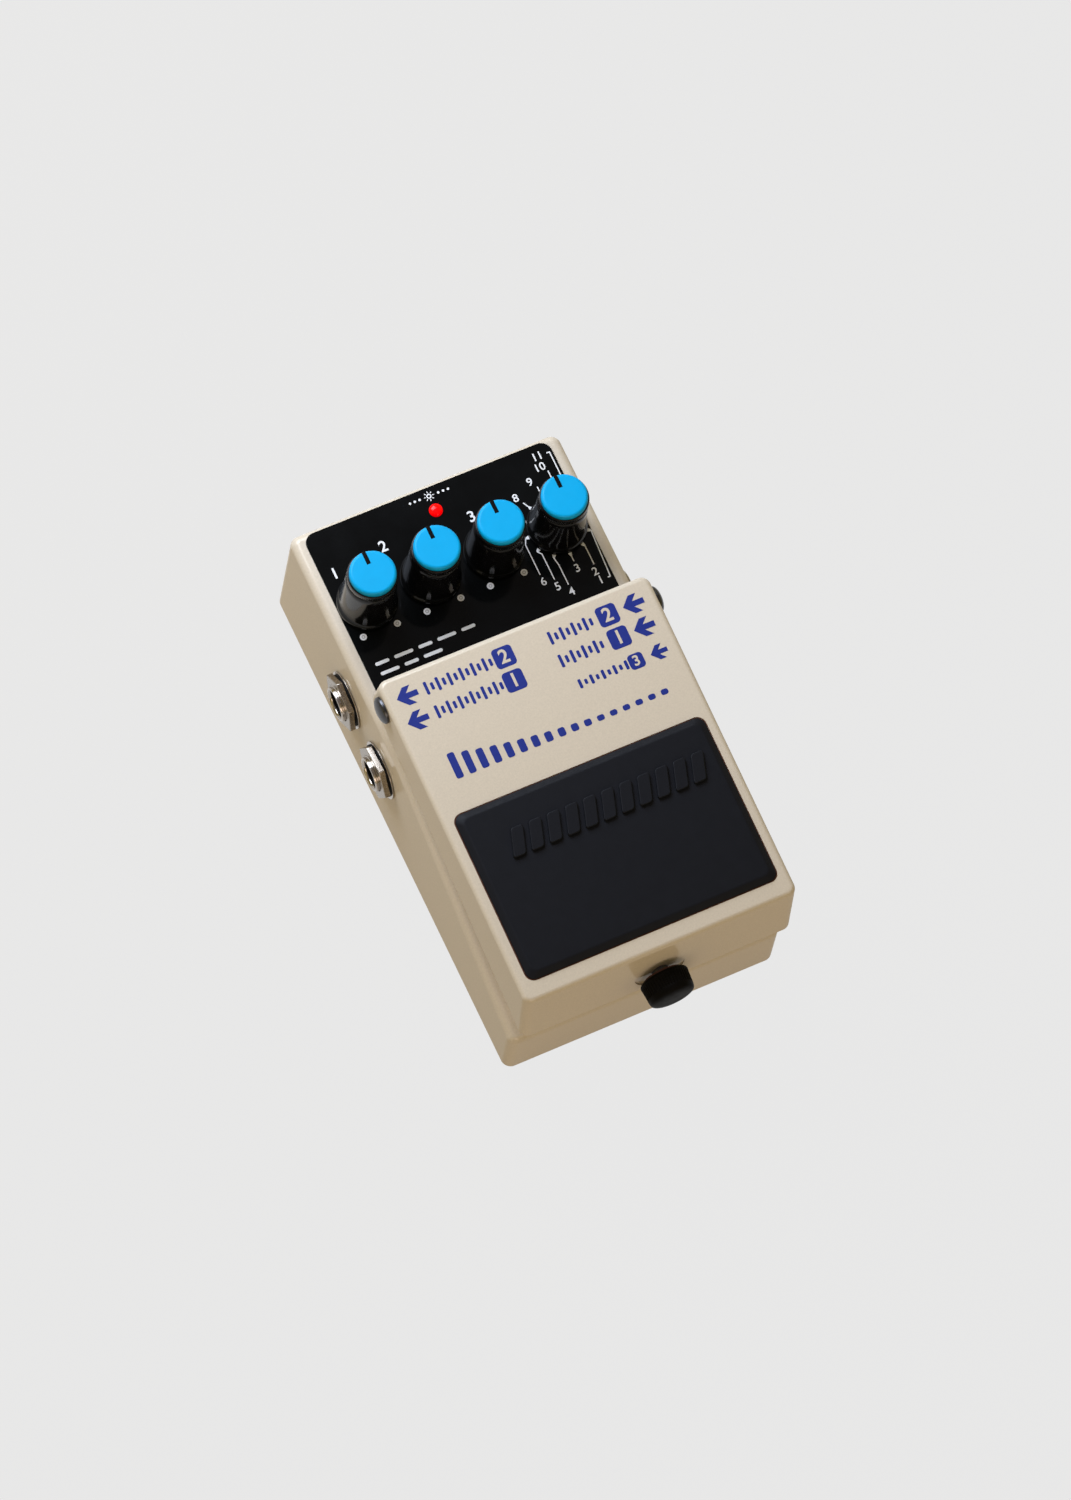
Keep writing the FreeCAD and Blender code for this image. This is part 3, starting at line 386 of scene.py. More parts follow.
def finish_mesh(mesh, angle):
    """Joins loose corners, turns faces outward and shades all but sharp edges smoothly."""
    same_point = 2e-6
    no_length = 1e-7
    work = bmesh.new()
    work.from_mesh(mesh)
    bmesh.ops.remove_doubles(work, verts=work.verts, dist=same_point)
    bmesh.ops.dissolve_degenerate(work, edges=work.edges, dist=no_length)
    bmesh.ops.recalc_face_normals(work, faces=work.faces)
    work.to_mesh(mesh)
    work.free()
    for face in mesh.polygons:
        face.use_smooth = True
    mesh.set_sharp_from_angle(angle=math.radians(angle))


def weigh_normals(thing):
    """Lets large faces lead the smooth shading, so that flat walls look flat."""
    modifier = thing.modifiers.new("even shading", "WEIGHTED_NORMAL")
    modifier.keep_sharp = True
    modifier.weight = 60


def soften(thing, width_mm):
    """Breaks a piece's sharp edges with a small rounded chamfer."""
    bevel = thing.modifiers.new("broken edges", "BEVEL")
    bevel.width = width_mm * MM
    bevel.segments = 3
    bevel.limit_method = "ANGLE"
    bevel.angle_limit = math.radians(30)
    thing.modifiers.move(len(thing.modifiers) - 1, 0)


def piece(name, parts, place, look, body, replaced=(), angle=38):
    """One named piece from parts that share a frame. It rides on a body, and may stand in for nodes."""
    points, faces = [], []
    for part_points, part_faces in parts:
        start = len(points)
        points += [place @ Vector(point) for point in part_points]
        faces += [tuple(start + corner for corner in face) for face in part_faces]
    mesh = bpy.data.meshes.new(name)
    mesh.from_pydata(points, [], faces)
    finish_mesh(mesh, angle)
    thing = bpy.data.objects.new(name, mesh)
    bpy.context.scene.collection.objects.link(thing)
    mesh.materials.append(look)
    weigh_normals(thing)
    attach(thing, body)
    if replaced:
        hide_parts(*replaced)
    return thing


def refined(name, node, look, body, angle=32):
    """A smoothly shaded copy of a solid, which stands in its place."""
    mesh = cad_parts[node].data.copy()
    mesh.name = name
    old_shading = [layer for layer in mesh.attributes if layer.name == "custom_normal"]
    for layer in old_shading:
        mesh.attributes.remove(layer)
    finish_mesh(mesh, angle)
    mesh.materials.clear()
    mesh.materials.append(look)
    thing = bpy.data.objects.new(name, mesh)
    bpy.context.scene.collection.objects.link(thing)
    weigh_normals(thing)
    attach(thing, body)
    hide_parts(node)
    return thing


def paint(node, look):
    """Gives a solid that stays as it is its finish."""
    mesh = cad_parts[node].data
    if mesh.materials:
        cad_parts[node].material_slots[0].material = look
    else:
        mesh.materials.append(look)


# Materials

# The part of a noise's range in which nearly all of its values lie
NOISE_LOW = 0.3
NOISE_HIGH = 0.7


def linear(red, green, blue):
    """A colour seen as 0 to 255 per channel, as the shader's own numbers."""
    def channel(value):
        share = value / 255
        return share / 12.92 if share <= 0.04045 else ((share + 0.055) / 1.055) ** 2.4
    return (channel(red), channel(green), channel(blue), 1.0)


def shaded(colour, factor):
    """The colour with its brightness multiplied."""
    return (colour[0] * factor, colour[1] * factor, colour[2] * factor, 1.0)


class Look:
    """A material under construction: its surface shader and what feeds it."""

    def __init__(self, name, **settings):
        self.material = bpy.data.materials.new(name)
        self.material.use_nodes = True
        self.tree = self.material.node_tree
        self.shader = self.tree.nodes["Principled BSDF"]
        for socket, value in settings.items():
            self.shader.inputs[socket.replace("_", " ")].default_value = value
        self.place = self.tree.nodes.new("ShaderNodeTexCoord").outputs["Object"]

    def node(self, kind, **inputs):
        """A shader node whose inputs are values or other nodes' sockets."""
        node = self.tree.nodes.new(kind)
        for name, value in inputs.items():
            socket = node.inputs[name.replace("_", " ")]
            if isinstance(value, bpy.types.NodeSocket):
                self.tree.links.new(value, socket)
            else:
                socket.default_value = value
        return node

    def stretched(self, x, y, z):
        mapping = self.node("ShaderNodeMapping", Vector=self.place)
        mapping.inputs["Scale"].default_value = (x, y, z)
        return mapping.outputs["Vector"]

    def noise(self, size_mm, detail=3.0, roughness=0.55, place=None):
        """Noise whose patches measure about size_mm."""
        texture = self.node("ShaderNodeTexNoise", Vector=place or self.place, Scale=1 / (size_mm * MM),
                            Detail=detail, Roughness=roughness)
        return texture.outputs["Fac"]

    def ramp(self, value, stops):
        """Colours along a value, from pairs of (position, colour)."""
        ramp = self.node("ShaderNodeValToRGB", Fac=value)
        band = ramp.color_ramp
        while len(band.elements) < len(stops):
            band.elements.new(0.5)
        for element, (position, colour) in zip(band.elements, stops):
            element.position = position
            element.color = colour
        return ramp.outputs["Color"]

    def colour(self, socket):
        self.tree.links.new(socket, self.shader.inputs["Base Color"])

    def spread(self, value, low, high):
        """A number that runs from low to high with the value."""
        limits = self.node("ShaderNodeMapRange", Value=value, From_Min=NOISE_LOW, From_Max=NOISE_HIGH,
                           To_Min=low, To_Max=high)
        return limits.outputs["Result"]

    def rough(self, value, low, high):
        self.tree.links.new(self.spread(value, low, high), self.shader.inputs["Roughness"])

    def bump(self, height, depth_mm, strength=1.0, before=None):
        """Surface relief, laid over the relief that came before it."""
        bump = self.node("ShaderNodeBump", Height=height, Distance=depth_mm * MM, Strength=strength)
        if before:
            self.tree.links.new(before, bump.inputs["Normal"])
        self.tree.links.new(bump.outputs["Normal"], self.shader.inputs["Normal"])
        return bump.outputs["Normal"]


def mottled(look, colour, size_mm, change):
    """Makes the colour a little darker and lighter in patches of that size."""
    darker = shaded(colour, 1 - change)
    lighter = shaded(colour, 1 + change)
    look.colour(look.ramp(look.noise(size_mm), [(NOISE_LOW, darker), (NOISE_HIGH, lighter)]))


def pearl_paint():
    """Champagne stove enamel with a fine pearl flake under a soft clear coat."""
    look = Look("pearl_paint", Metallic=0.08, Coat_Weight=0.24, Coat_Roughness=0.13, Specular_IOR_Level=0.0)
    champagne = (0.62, 0.545, 0.44, 1.0)
    flake = look.noise(0.42, detail=2.0, roughness=0.7)
    look.colour(look.ramp(flake, [(0.28, shaded(champagne, 0.95)), (0.5, champagne),
                                  (0.72, shaded(champagne, 1.05))]))
    look.rough(look.noise(1.3), 0.3, 0.38)
    coarse = look.bump(look.noise(1.1, detail=1.0), 0.004, 0.5)
    look.bump(look.noise(0.3, detail=2.0), 0.0025, 0.5, before=coarse)
    return look.material


def panel_film():
    """Glossy black film with a faint unevenness."""
    look = Look("panel_film", Specular_IOR_Level=0.16)
    mottled(look, (0.0024, 0.0028, 0.003, 1.0), 6.0, 0.25)
    look.rough(look.noise(9.0), 0.06, 0.12)
    look.bump(look.noise(0.8), 0.002, 0.3)
    return look.material


def moulded(name, colour, rough_low, rough_high, grain_mm, grain_depth, tones=0.12, **settings):
    """Moulded plastic or rubber: slight tone changes, uneven gloss and a fine surface grain."""
    look = Look(name, **settings)
    mottled(look, colour, 3.0, tones)
    look.rough(look.noise(1.8), rough_low, rough_high)
    look.bump(look.noise(grain_mm, detail=2.0), grain_depth, 0.6)
    return look.material


def metal(name, colour, rough_low, rough_high, stretch=(1, 1, 1), depth=0.004):
    """Bare or plated metal: fine streaks of tone and gloss along the stretched way."""
    look = Look(name, Metallic=1.0)
    streaks = look.noise(0.5, place=look.stretched(*stretch))
    look.colour(look.ramp(streaks, [(NOISE_LOW, shaded(colour, 0.82)), (NOISE_HIGH, shaded(colour, 1.08))]))
    look.rough(streaks, rough_low, rough_high)
    look.bump(streaks, depth, 0.5)
    return look.material


def ink(name, colour):
    """Screen print: an even colour with a slightly uneven edge of gloss."""
    look = Look(name, Specular_IOR_Level=0.3)
    mottled(look, colour, 0.9, 0.05)
    look.rough(look.noise(0.6), 0.38, 0.52)
    look.bump(look.noise(0.25), 0.003, 0.4)
    return look.material


def lens_red():
    """Translucent red moulding, lit from inside."""
    look = Look("lens_red", Emission_Strength=0.75, Coat_Weight=0.1, Coat_Roughness=0.2,
                Specular_IOR_Level=0.2)
    look.shader.inputs["Emission Color"].default_value = (1.0, 0.0, 0.002, 1.0)
    mottled(look, (0.62, 0.0, 0.0, 1.0), 0.8, 0.08)
    look.rough(look.noise(0.7), 0.15, 0.25)
    look.bump(look.noise(0.4), 0.004, 0.4)
    return look.material


def circuit_green():
    """Green board with a raised pattern of tracks."""
    look = Look("circuit_green", Specular_IOR_Level=0.4)
    green = (0.012, 0.09, 0.035, 1.0)
    tracks = look.node("ShaderNodeTexBrick", Vector=look.place, Scale=1 / (7 * MM),
                       Color1=green, Color2=shaded(green, 1.25), Mortar=shaded(green, 1.9),
                       Mortar_Size=0.03)
    look.colour(tracks.outputs["Color"])
    look.rough(look.noise(2.0), 0.25, 0.4)
    look.bump(tracks.outputs["Fac"], 0.03, 0.5)
    return look.material


def battery_jacket():
    """A plain dark jacket with a copper-coloured band near the terminal end."""
    look = Look("battery_jacket", Metallic=0.55)
    dark = (0.018, 0.019, 0.022, 1.0)
    copper = (0.42, 0.19, 0.07, 1.0)
    foot = -27.5 * MM
    terminals = 21.0 * MM
    band_start = 0.70
    blend = 0.005
    along = look.node("ShaderNodeSeparateXYZ", Vector=look.place).outputs["X"]
    share = look.node("ShaderNodeMapRange", Value=along, From_Min=foot, From_Max=terminals)
    bands = [(0.0, dark), (band_start - blend, dark), (band_start, copper), (1.0, copper)]
    look.colour(look.ramp(share.outputs["Result"], bands))
    look.rough(look.noise(2.0), 0.28, 0.4)
    look.bump(look.noise(0.6), 0.006, 0.4)
    return look.material


looks = {
    "pearl": pearl_paint(),
    "film": panel_film(),
    "knob": moulded("knob_black", (0.003, 0.003, 0.0032, 1.0), 0.12, 0.16, 0.5, 0.0004,
                    Specular_IOR_Level=0.26),
    "cap": moulded("cap_blue", (0.0, 0.345, 0.68, 1.0), 0.36, 0.44, 0.35, 0.002, tones=0.02,
                   Specular_IOR_Level=0.15),
    "rubber": moulded("tread_rubber", (0.0058, 0.0064, 0.0096, 1.0), 0.5, 0.62, 0.32, 0.009, tones=0.06,
                      Specular_IOR_Level=0.14),
    "base_rubber": moulded("base_rubber", (0.018, 0.018, 0.019, 1.0), 0.7, 0.85, 0.6, 0.05,
                           Specular_IOR_Level=0.3),
    "thumb": moulded("thumb_black", (0.0042, 0.0036, 0.003, 1.0), 0.45, 0.55, 0.4, 0.002,
                     Specular_IOR_Level=0.03),
    "housing": moulded("housing_black", (0.012, 0.012, 0.013, 1.0), 0.4, 0.55, 0.4, 0.008,
                       Specular_IOR_Level=0.4),
    "nylon": moulded("nylon", (0.72, 0.7, 0.64, 1.0), 0.4, 0.55, 0.5, 0.004),
    "fibre": moulded("fibre_red", (0.075, 0.018, 0.013, 1.0), 0.6, 0.75, 0.3, 0.01),
    "sheet": moulded("sheet_film", (0.6, 0.52, 0.33, 1.0), 0.2, 0.3, 1.5, 0.006),
    "foam": moulded("foam_grey", (0.05, 0.05, 0.052, 1.0), 0.8, 0.95, 0.45, 0.12),
    "nickel": metal("nickel", (0.47, 0.42, 0.365, 1.0), 0.16, 0.24, depth=0.001),
    # The nuts' nickel is darker and browner than the washers': painted shade that dims what their faces
    # mirror
    "nut": metal("nut_nickel_painted_shade", (0.34, 0.295, 0.245, 1.0), 0.2, 0.3, depth=0.001),
    # Near-black for painted shade: the ring in the gap between washer and nut, and the liner in each
    # socket's bore
    "bore": moulded("painted_shade_black", (0.004, 0.004, 0.004, 1.0), 0.5, 0.6, 0.5, 0.002, Specular_IOR_Level=0.1),
    # Dark brown under the tread, where it shows in the gap round it: painted shade of the gap
    "gap_shade": moulded("gap_shade_brown", (0.10, 0.032, 0.014, 1.0), 0.5, 0.65, 0.4, 0.006, Specular_IOR_Level=0.2),
    "dark_steel": metal("dark_steel", (0.085, 0.085, 0.09, 1.0), 0.26, 0.4),
    "zinc": metal("zinc", (0.60, 0.61, 0.62, 1.0), 0.26, 0.42, (1, 0.2, 1)),
    "can": metal("satin_can", (0.55, 0.55, 0.56, 1.0), 0.3, 0.45, (0.2, 1, 1)),
    "white_ink": ink("white_ink", (0.80, 0.80, 0.80, 1.0)),
    "silver_ink": ink("silver_ink", (0.80, 0.80, 0.82, 1.0)),
    "grey_ink": ink("grey_ink", (0.42, 0.42, 0.43, 1.0)),
    "navy_ink": ink("navy_ink", (0.0085, 0.022, 0.215, 1.0)),
    "lens": lens_red(),
    "board": circuit_green(),
    "jacket": battery_jacket(),
}


# Camera: a long lens from the front left, high up, slightly rolled

def place_camera():
    turn_left = math.radians(38.18)
    height = math.radians(68.57)
    roll = 0.244
    distance = 1637.739
    aim = Vector((0, 0, 20))
    aim_right = -1.065
    aim_up = 0.553
    back = Vector((-math.cos(height) * math.sin(turn_left), -math.cos(height) * math.cos(turn_left),
                   math.sin(height)))
    level = Vector((math.cos(turn_left), -math.sin(turn_left), 0))
    upright = back.cross(level)
    right = level * math.cos(roll) + upright * math.sin(roll)
    up = back.cross(right)
    centre = (aim + back * distance - right * aim_right - up * aim_up) * MM
    lens = bpy.data.cameras.new("camera")
    lens.sensor_fit = "HORIZONTAL"
    lens.sensor_width = 36.0
    lens.lens = 244.84
    lens.clip_end = 10.0
    camera = bpy.data.objects.new("camera", lens)
    axes = Matrix((right, up, back)).transposed().to_4x4()
    camera.matrix_world = Matrix.Translation(centre) @ axes
    bpy.context.scene.collection.objects.link(camera)
    bpy.context.scene.camera = camera


# Stage: a pale floor, a soft sky that is warmer near the horizon, and soft lamps

BACKGROUND = linear(233, 233, 233)
FLOOR_HALF = 2.5
FLOOR_BOUNCE = (0.40, 0.31, 0.19, 1.0)
FLOOR_GLOW_SHARE = 0.98
SKY_LOW = (0.50, 0.405, 0.15, 1.0)
SKY_HIGH = (0.30, 0.27, 0.26, 1.0)
SKY_STRENGTH = 0.84
LAMP_AIM = Vector((0, 0, 0.03))
# Name, place, width, height, power and colour of each lamp, in metres and watts
LAMPS = [
    ("key", (-0.07, 0.27, 0.31), 0.26, 0.26, 1.9, (0.87, 0.975, 1.17)),
    ("front", (-0.3, -1.2, 0.62), 1.0, 0.5, 3.5, (1.16, 0.97, 0.90)),
    ("left", (-1.1, -0.2, 0.5), 0.8, 0.4, 0.35, (1.12, 0.95, 0.72)),
]


def floor_material():
    """Matt for the light on the object, and an even pale tone where it is seen or mirrored."""
    material = bpy.data.materials.new("floor")
    material.use_nodes = True
    tree = material.node_tree
    matt = tree.nodes["Principled BSDF"]
    matt.inputs["Base Color"].default_value = FLOOR_BOUNCE
    matt.inputs["Roughness"].default_value = 0.9
    matt.inputs["Specular IOR Level"].default_value = 0.0
    glow = tree.nodes.new("ShaderNodeEmission")
    glow.inputs["Color"].default_value = BACKGROUND
    path = tree.nodes.new("ShaderNodeLightPath")
    seen = path.outputs["Is Camera Ray"]
    for ray in ("Is Glossy Ray", "Is Transmission Ray"):
        either = tree.nodes.new("ShaderNodeMath")
        either.operation = "ADD"
        either.use_clamp = True
        tree.links.new(seen, either.inputs[0])
        tree.links.new(path.outputs[ray], either.inputs[1])
        seen = either.outputs[0]
    keep = tree.nodes.new("ShaderNodeMath")
    keep.operation = "MULTIPLY"
    keep.inputs[1].default_value = FLOOR_GLOW_SHARE
    mix = tree.nodes.new("ShaderNodeMixShader")
    tree.links.new(seen, keep.inputs[0])
    tree.links.new(keep.outputs[0], mix.inputs["Fac"])
    tree.links.new(matt.outputs[0], mix.inputs[1])
    tree.links.new(glow.outputs[0], mix.inputs[2])
    tree.links.new(mix.outputs[0], tree.nodes["Material Output"].inputs["Surface"])
    return material


def make_floor():
    corners = [(x * FLOOR_HALF, y * FLOOR_HALF, 0) for x, y in ((-1, -1), (1, -1), (1, 1), (-1, 1))]
    mesh = bpy.data.meshes.new("floor")
    mesh.from_pydata(corners, [], [(0, 1, 2, 3)])
    mesh.materials.append(floor_material())
    floor = bpy.data.objects.new("floor", mesh)
    bpy.context.scene.collection.objects.link(floor)


def make_sky():
    world = bpy.data.worlds.new("sky")
    bpy.context.scene.world = world
    world.use_nodes = True
    tree = world.node_tree
    way = tree.nodes.new("ShaderNodeTexCoord")
    parts = tree.nodes.new("ShaderNodeSeparateXYZ")
    tree.links.new(way.outputs["Generated"], parts.inputs[0])
    band = tree.nodes.new("ShaderNodeValToRGB")
    for element, position, colour in zip(band.color_ramp.elements, (0.6, 0.86), (SKY_LOW, SKY_HIGH)):
        element.position = position
        element.color = colour
    tree.links.new(parts.outputs["Z"], band.inputs["Fac"])
    sky = tree.nodes["Background"]
    tree.links.new(band.outputs["Color"], sky.inputs["Color"])
    sky.inputs["Strength"].default_value = SKY_STRENGTH


def make_lamp_light(name, place, width, height, power, colour):
    light = bpy.data.lights.new(name, "AREA")
    light.shape = "RECTANGLE"
    light.size = width
    light.size_y = height
    light.energy = power
    light.color = colour
    thing = bpy.data.objects.new(name, light)
    thing.location = place
    thing.rotation_euler = (LAMP_AIM - Vector(place)).to_track_quat("-Z", "Y").to_euler()
    bpy.context.scene.collection.objects.link(thing)


def make_stage():
    make_floor()
    make_sky()
    for lamp in LAMPS:
        make_lamp_light(*lamp)


# Painted shells of the case and the treadle

def make_shells():
    refined("case_shell", "case", looks["pearl"], "case")
    refined("treadle_shell", "pedal", looks["pearl"], "pedal")


# Rubber tread: a bevelled sheet with a row of slanted grip bars in its seat, over a dark brown sheet of
# painted gap shade

def tread_outline(inset):
    corner = TREAD_CORNER - inset * 0.3
    return rounded(-TREAD_HALF + inset, TREAD_HALF - inset,
                   TREAD_START + inset, TREAD_START + TREAD_LENGTH - inset, corner, 8)


def grip_outline(x, y, inset):
    """A rounded bar that leans to the right."""
    half_width = GRIP_HALF_WIDTH - inset
    half_length = GRIP_HALF_LENGTH - inset
    upright = rounded(-half_width, half_width, -half_length, half_length, 0.7 - inset, 5)
    return [(x + px + GRIP_LEAN * py, y + py) for px, py in upright]


def make_tread():
    sheet_levels = [(0.25, -0.74), (0.0, -0.5), (0.0, 0.1), (0.12, 0.3), (1.25, 0.88), (1.5, 0.97),
                    (1.8, TREAD_RISE)]
    bar_levels = [(0.0, TREAD_RISE - 0.05), (0.0, TREAD_RISE + 0.6), (0.1, TREAD_RISE + 0.74),
                  (0.28, TREAD_RISE + 0.8)]
    parts = [stack([(tread_outline(inset), height) for inset, height in sheet_levels])]
    middle = along_treadle(GRIP_Y)
    for index in range(GRIP_BARS):
        centre = GRIP_LEFT + index * (GRIP_RIGHT - GRIP_LEFT) / (GRIP_BARS - 1)
        parts.append(stack([(grip_outline(centre, middle, inset), height) for inset, height in bar_levels]))
    piece("rubber_tread", parts, on_treadle(), looks["rubber"], "pedal", ["pedal_pad"])
    # A sheet under the tread whose dark brown, seen in the gap round it, is painted shade
    gap_shade = prism(tread_outline(-0.2), TREAD_SEAT, -0.08)
    piece("tread_gap_shade", [gap_shade], on_treadle(), looks["gap_shade"], "pedal")


# Print on the treadle: for each socket an arrow, a scale of ticks and a numbered tag, then echo bars

ARROW = [(0, 0), (2.15, 2.2), (4.0, 2.2), (2.5, 0.66), (5.1, 0.66), (5.1, -0.66), (2.5, -0.66),
         (4.0, -2.2), (2.15, -2.2)]
# Tip's X, Y and scale of each arrow
ARROWS = [(-30.6, 11.4, 1.0), (-30.7, 5.4, 1.0), (24.8, 11.5, 1.0), (24.8, 5.7, 1.0), (25.9, -0.8, 0.8)]
# Number, X, Y and half width of each tag
TAGS = [("2", -4.5, 11.35, 2.4), ("1", -4.6, 5.5, 2.4), ("2", 20.9, 11.3, 2.4), ("1", 21.1, 5.6, 2.4),
        ("3", 22.4, -0.8, 1.8)]
# First tick's X, number of ticks, Y and height of each scale
SCALES = [(-23.4, 12, 11.35, 3.1), (-23.4, 12, 5.5, 3.1), (6.9, 8, 11.3, 3.1), (6.9, 8, 5.6, 3.1),
          (8.6, 9, -0.8, 2.2)]
TICK_PITCH = 1.42
ECHO_BARS = 17
ECHO_LEFT = -24.9
ECHO_FOOT = -10.3
ECHO_PITCH = 3.13
ECHO_TALLEST = 6.2
ECHO_SHORTEST = 1.3
ECHO_FADE = 0.87


def print_bar(x, half_width, low, high, corner, steps):
    """An upright bar of ink with rounded corners."""
    return prism(rounded(x - half_width, x + half_width, low, high, corner, steps), 0.0, INK)


def arrow(tip_x, y, scale):
    outline = [(tip_x + scale * x, along_treadle(y) + scale * side) for x, side in ARROW]
    return prism(outline[::-1], 0.0, INK)


def tick_scale(first, count, y, tall):
    """Long and short ticks in turn."""
    middle = along_treadle(y)
    ticks = []
    for step in range(count):
        half = tall * (0.5 if step % 2 == 0 else 0.28)
        ticks.append(print_bar(first + step * TICK_PITCH, 0.36, middle - half, middle + half, 0.25, 3))
    return ticks


def echo_bars():
    """A row of bars that get lower and lower, down to a shortest height."""
    foot = along_treadle(ECHO_FOOT)
    bars = []
    for index in range(ECHO_BARS):
        height = max(ECHO_TALLEST * ECHO_FADE ** index, ECHO_SHORTEST)
        bars.append(print_bar(ECHO_LEFT + index * ECHO_PITCH, 0.86, foot, foot + height, 0.5, 4))
    return bars


def make_treadle_print():
    navy = [arrow(*place) for place in ARROWS]
    numbers = []
    for text, x, y, half in TAGS:
        middle = along_treadle(y)
        navy.append(print_bar(x, half, middle - half, middle + half, 0.9, 5))
        numbers.append(moved(digits(text, half * 1.36, 0.03), x, middle, INK))
    for scale in SCALES:
        navy += tick_scale(*scale)
    navy += echo_bars()
    piece("treadle_print", navy, on_treadle(), looks["navy_ink"], "pedal")
    piece("treadle_numbers", numbers, on_treadle(), looks["pearl"], "pedal")


# Print on the panel: numbers, end dots, the selector's scale, the lamp's sign and two rows of dashes

# Each of the selector's steps: its tick's angle, its leader's points and its number's place
SELECTOR = [
    (120, [(29.55, 24.6), (28.9, 24.6)], (27.2, 24.6)),
    (150, [(27.4, 28.6)], (26.9, 26.9)),
    (180, [(23.52, 31.0)], (23.52, 29.2)),
    (210, [(20.0, 31.5), (20.0, 26.4)], (20.0, 24.6)),
    (240, [(17.6, 35.4), (17.6, 28.7)], (17.6, 26.9)),
    (270, [(15.1, 38.8), (15.1, 31.0)], (15.1, 29.2)),
    (300, [(15.6, 44.8)], (14.0, 45.3)),
    (330, [(18.9, 48.3)], (17.8, 49.9)),
    (360, [(23.52, 50.6)], (22.4, 52.2)),
    (390, [(27.4, 49.2), (27.4, 53.2)], (26.0, 54.6)),
    (420, [(29.65, 45.6), (29.65, 57.2), (28.9, 57.2)], (26.6, 57.2)),
]
SELECTOR_TICK_INNER = 6.95
SELECTOR_TICK_OUTER = 7.75
DIAL_NUMBERS = [(-27.3, 49.2), (-14.6, 50.9), (6.8, 49.7)]
DIAL_DOT_DISTANCE = 8.35
LAMP_SIGN_Y = 58.0
# Y, start and lengths of the dashes in each row
DASH_ROWS = [(25.9, -28.0, (3.4, 4.6, 3.4, 4.6, 3.4)), (23.4, -27.8, (4.6, 3.4, 4.6))]
DASH_GAP = 1.3


def on_panel(outline, holes=(), thickness=INK):
    """A film of ink on top of the panel plate, in the frame of the row of knobs."""
    return prism(outline, LABEL_THICKNESS, LABEL_THICKNESS + thickness, holes)


def panel_number(number, height, x, y, weight=0.016):
    return moved(digits(str(number), height, weight), x, y - KNOB_ROW, LABEL_THICKNESS)


def selector_tick(angle):
    """A short wedge that tapers away from the selector, and the middle of its outer end."""
    centre = KNOB_PLACES[3]
    inner = clock(angle, SELECTOR_TICK_INNER, centre, 0.0)
    outer = clock(angle, SELECTOR_TICK_OUTER, centre, 0.0)
    side = clock(angle + 90, 1.0)
    outline = []
    for (x, y), half_width in ((inner, -0.45), (inner, 0.45), (outer, 0.22), (outer, -0.22)):
        outline.append((x + half_width * side[0], y + half_width * side[1]))
    return outline, outer


def selector_print():
    parts = []
    for index, (angle, route, place) in enumerate(SELECTOR):
        wedge, outer = selector_tick(angle)
        leader = [outer] + [(x, y - KNOB_ROW) for x, y in route]
        parts.append(on_panel(wedge))
        parts.append(on_panel(ribbon(leader, 0.26)))
        parts.append(panel_number(index + 1, 2.0, *place))
    return parts


def lamp_sign():
    """A small ring with rays between two rows of dots."""
    y = LAMP_SIGN_Y - KNOB_ROW
    first_dot = 2.3
    dot_pitch = 1.2
    parts = [on_panel(disc(0, y, 0.6, 24), [disc(0, y, 0.32, 24)])]
    for index in range(8):
        ray = [clock(45 * index, 0.8, 0, y), clock(45 * index, 1.2, 0, y)]
        parts.append(on_panel(ribbon(ray, 0.22)))
    for side in (-1, 1):
        for step in range(3):
            parts.append(on_panel(disc(side * (first_dot + step * dot_pitch), y, 0.3, 16)))
    return parts


def dash_rows():
    half_height = 0.4
    parts = []
    for y, start, dashes in DASH_ROWS:
        low = y - half_height - KNOB_ROW
        high = y + half_height - KNOB_ROW
        for length in dashes:
            parts.append(on_panel(rounded(start, start + length, low, high, 0.38, 4)))
            start += length + DASH_GAP
    return parts


def make_panel_print():
    silver, grey = [], []
    for x in KNOB_PLACES[:3]:
        for angle in (-DIAL_SWING, DIAL_SWING):
            px, py = clock(angle, DIAL_DOT_DISTANCE, x, 0.0)
            silver.append(on_panel(disc(px, py, 0.8, 32)))
            grey.append(on_panel(disc(px, py, 0.42, 24), [disc(px, py, 0.24, 20)], 1.7 * INK))
    white = selector_print()
    for index, (x, y) in enumerate(DIAL_NUMBERS):
        white.append(panel_number(index + 1, 2.7, x, y, 0.024))
    white += lamp_sign()
    white += dash_rows()
    place = on_deck(0, KNOB_ROW)
    piece("panel_print", white, place, looks["white_ink"], "case")
    piece("dial_dots", silver, place, looks["silver_ink"], "case")
    piece("dial_dot_centres", grey, place, looks["grey_ink"], "case")


# Knobs: a body with a foot, a tapering skirt and a fluted collar, and a cap with a slot for the pointer

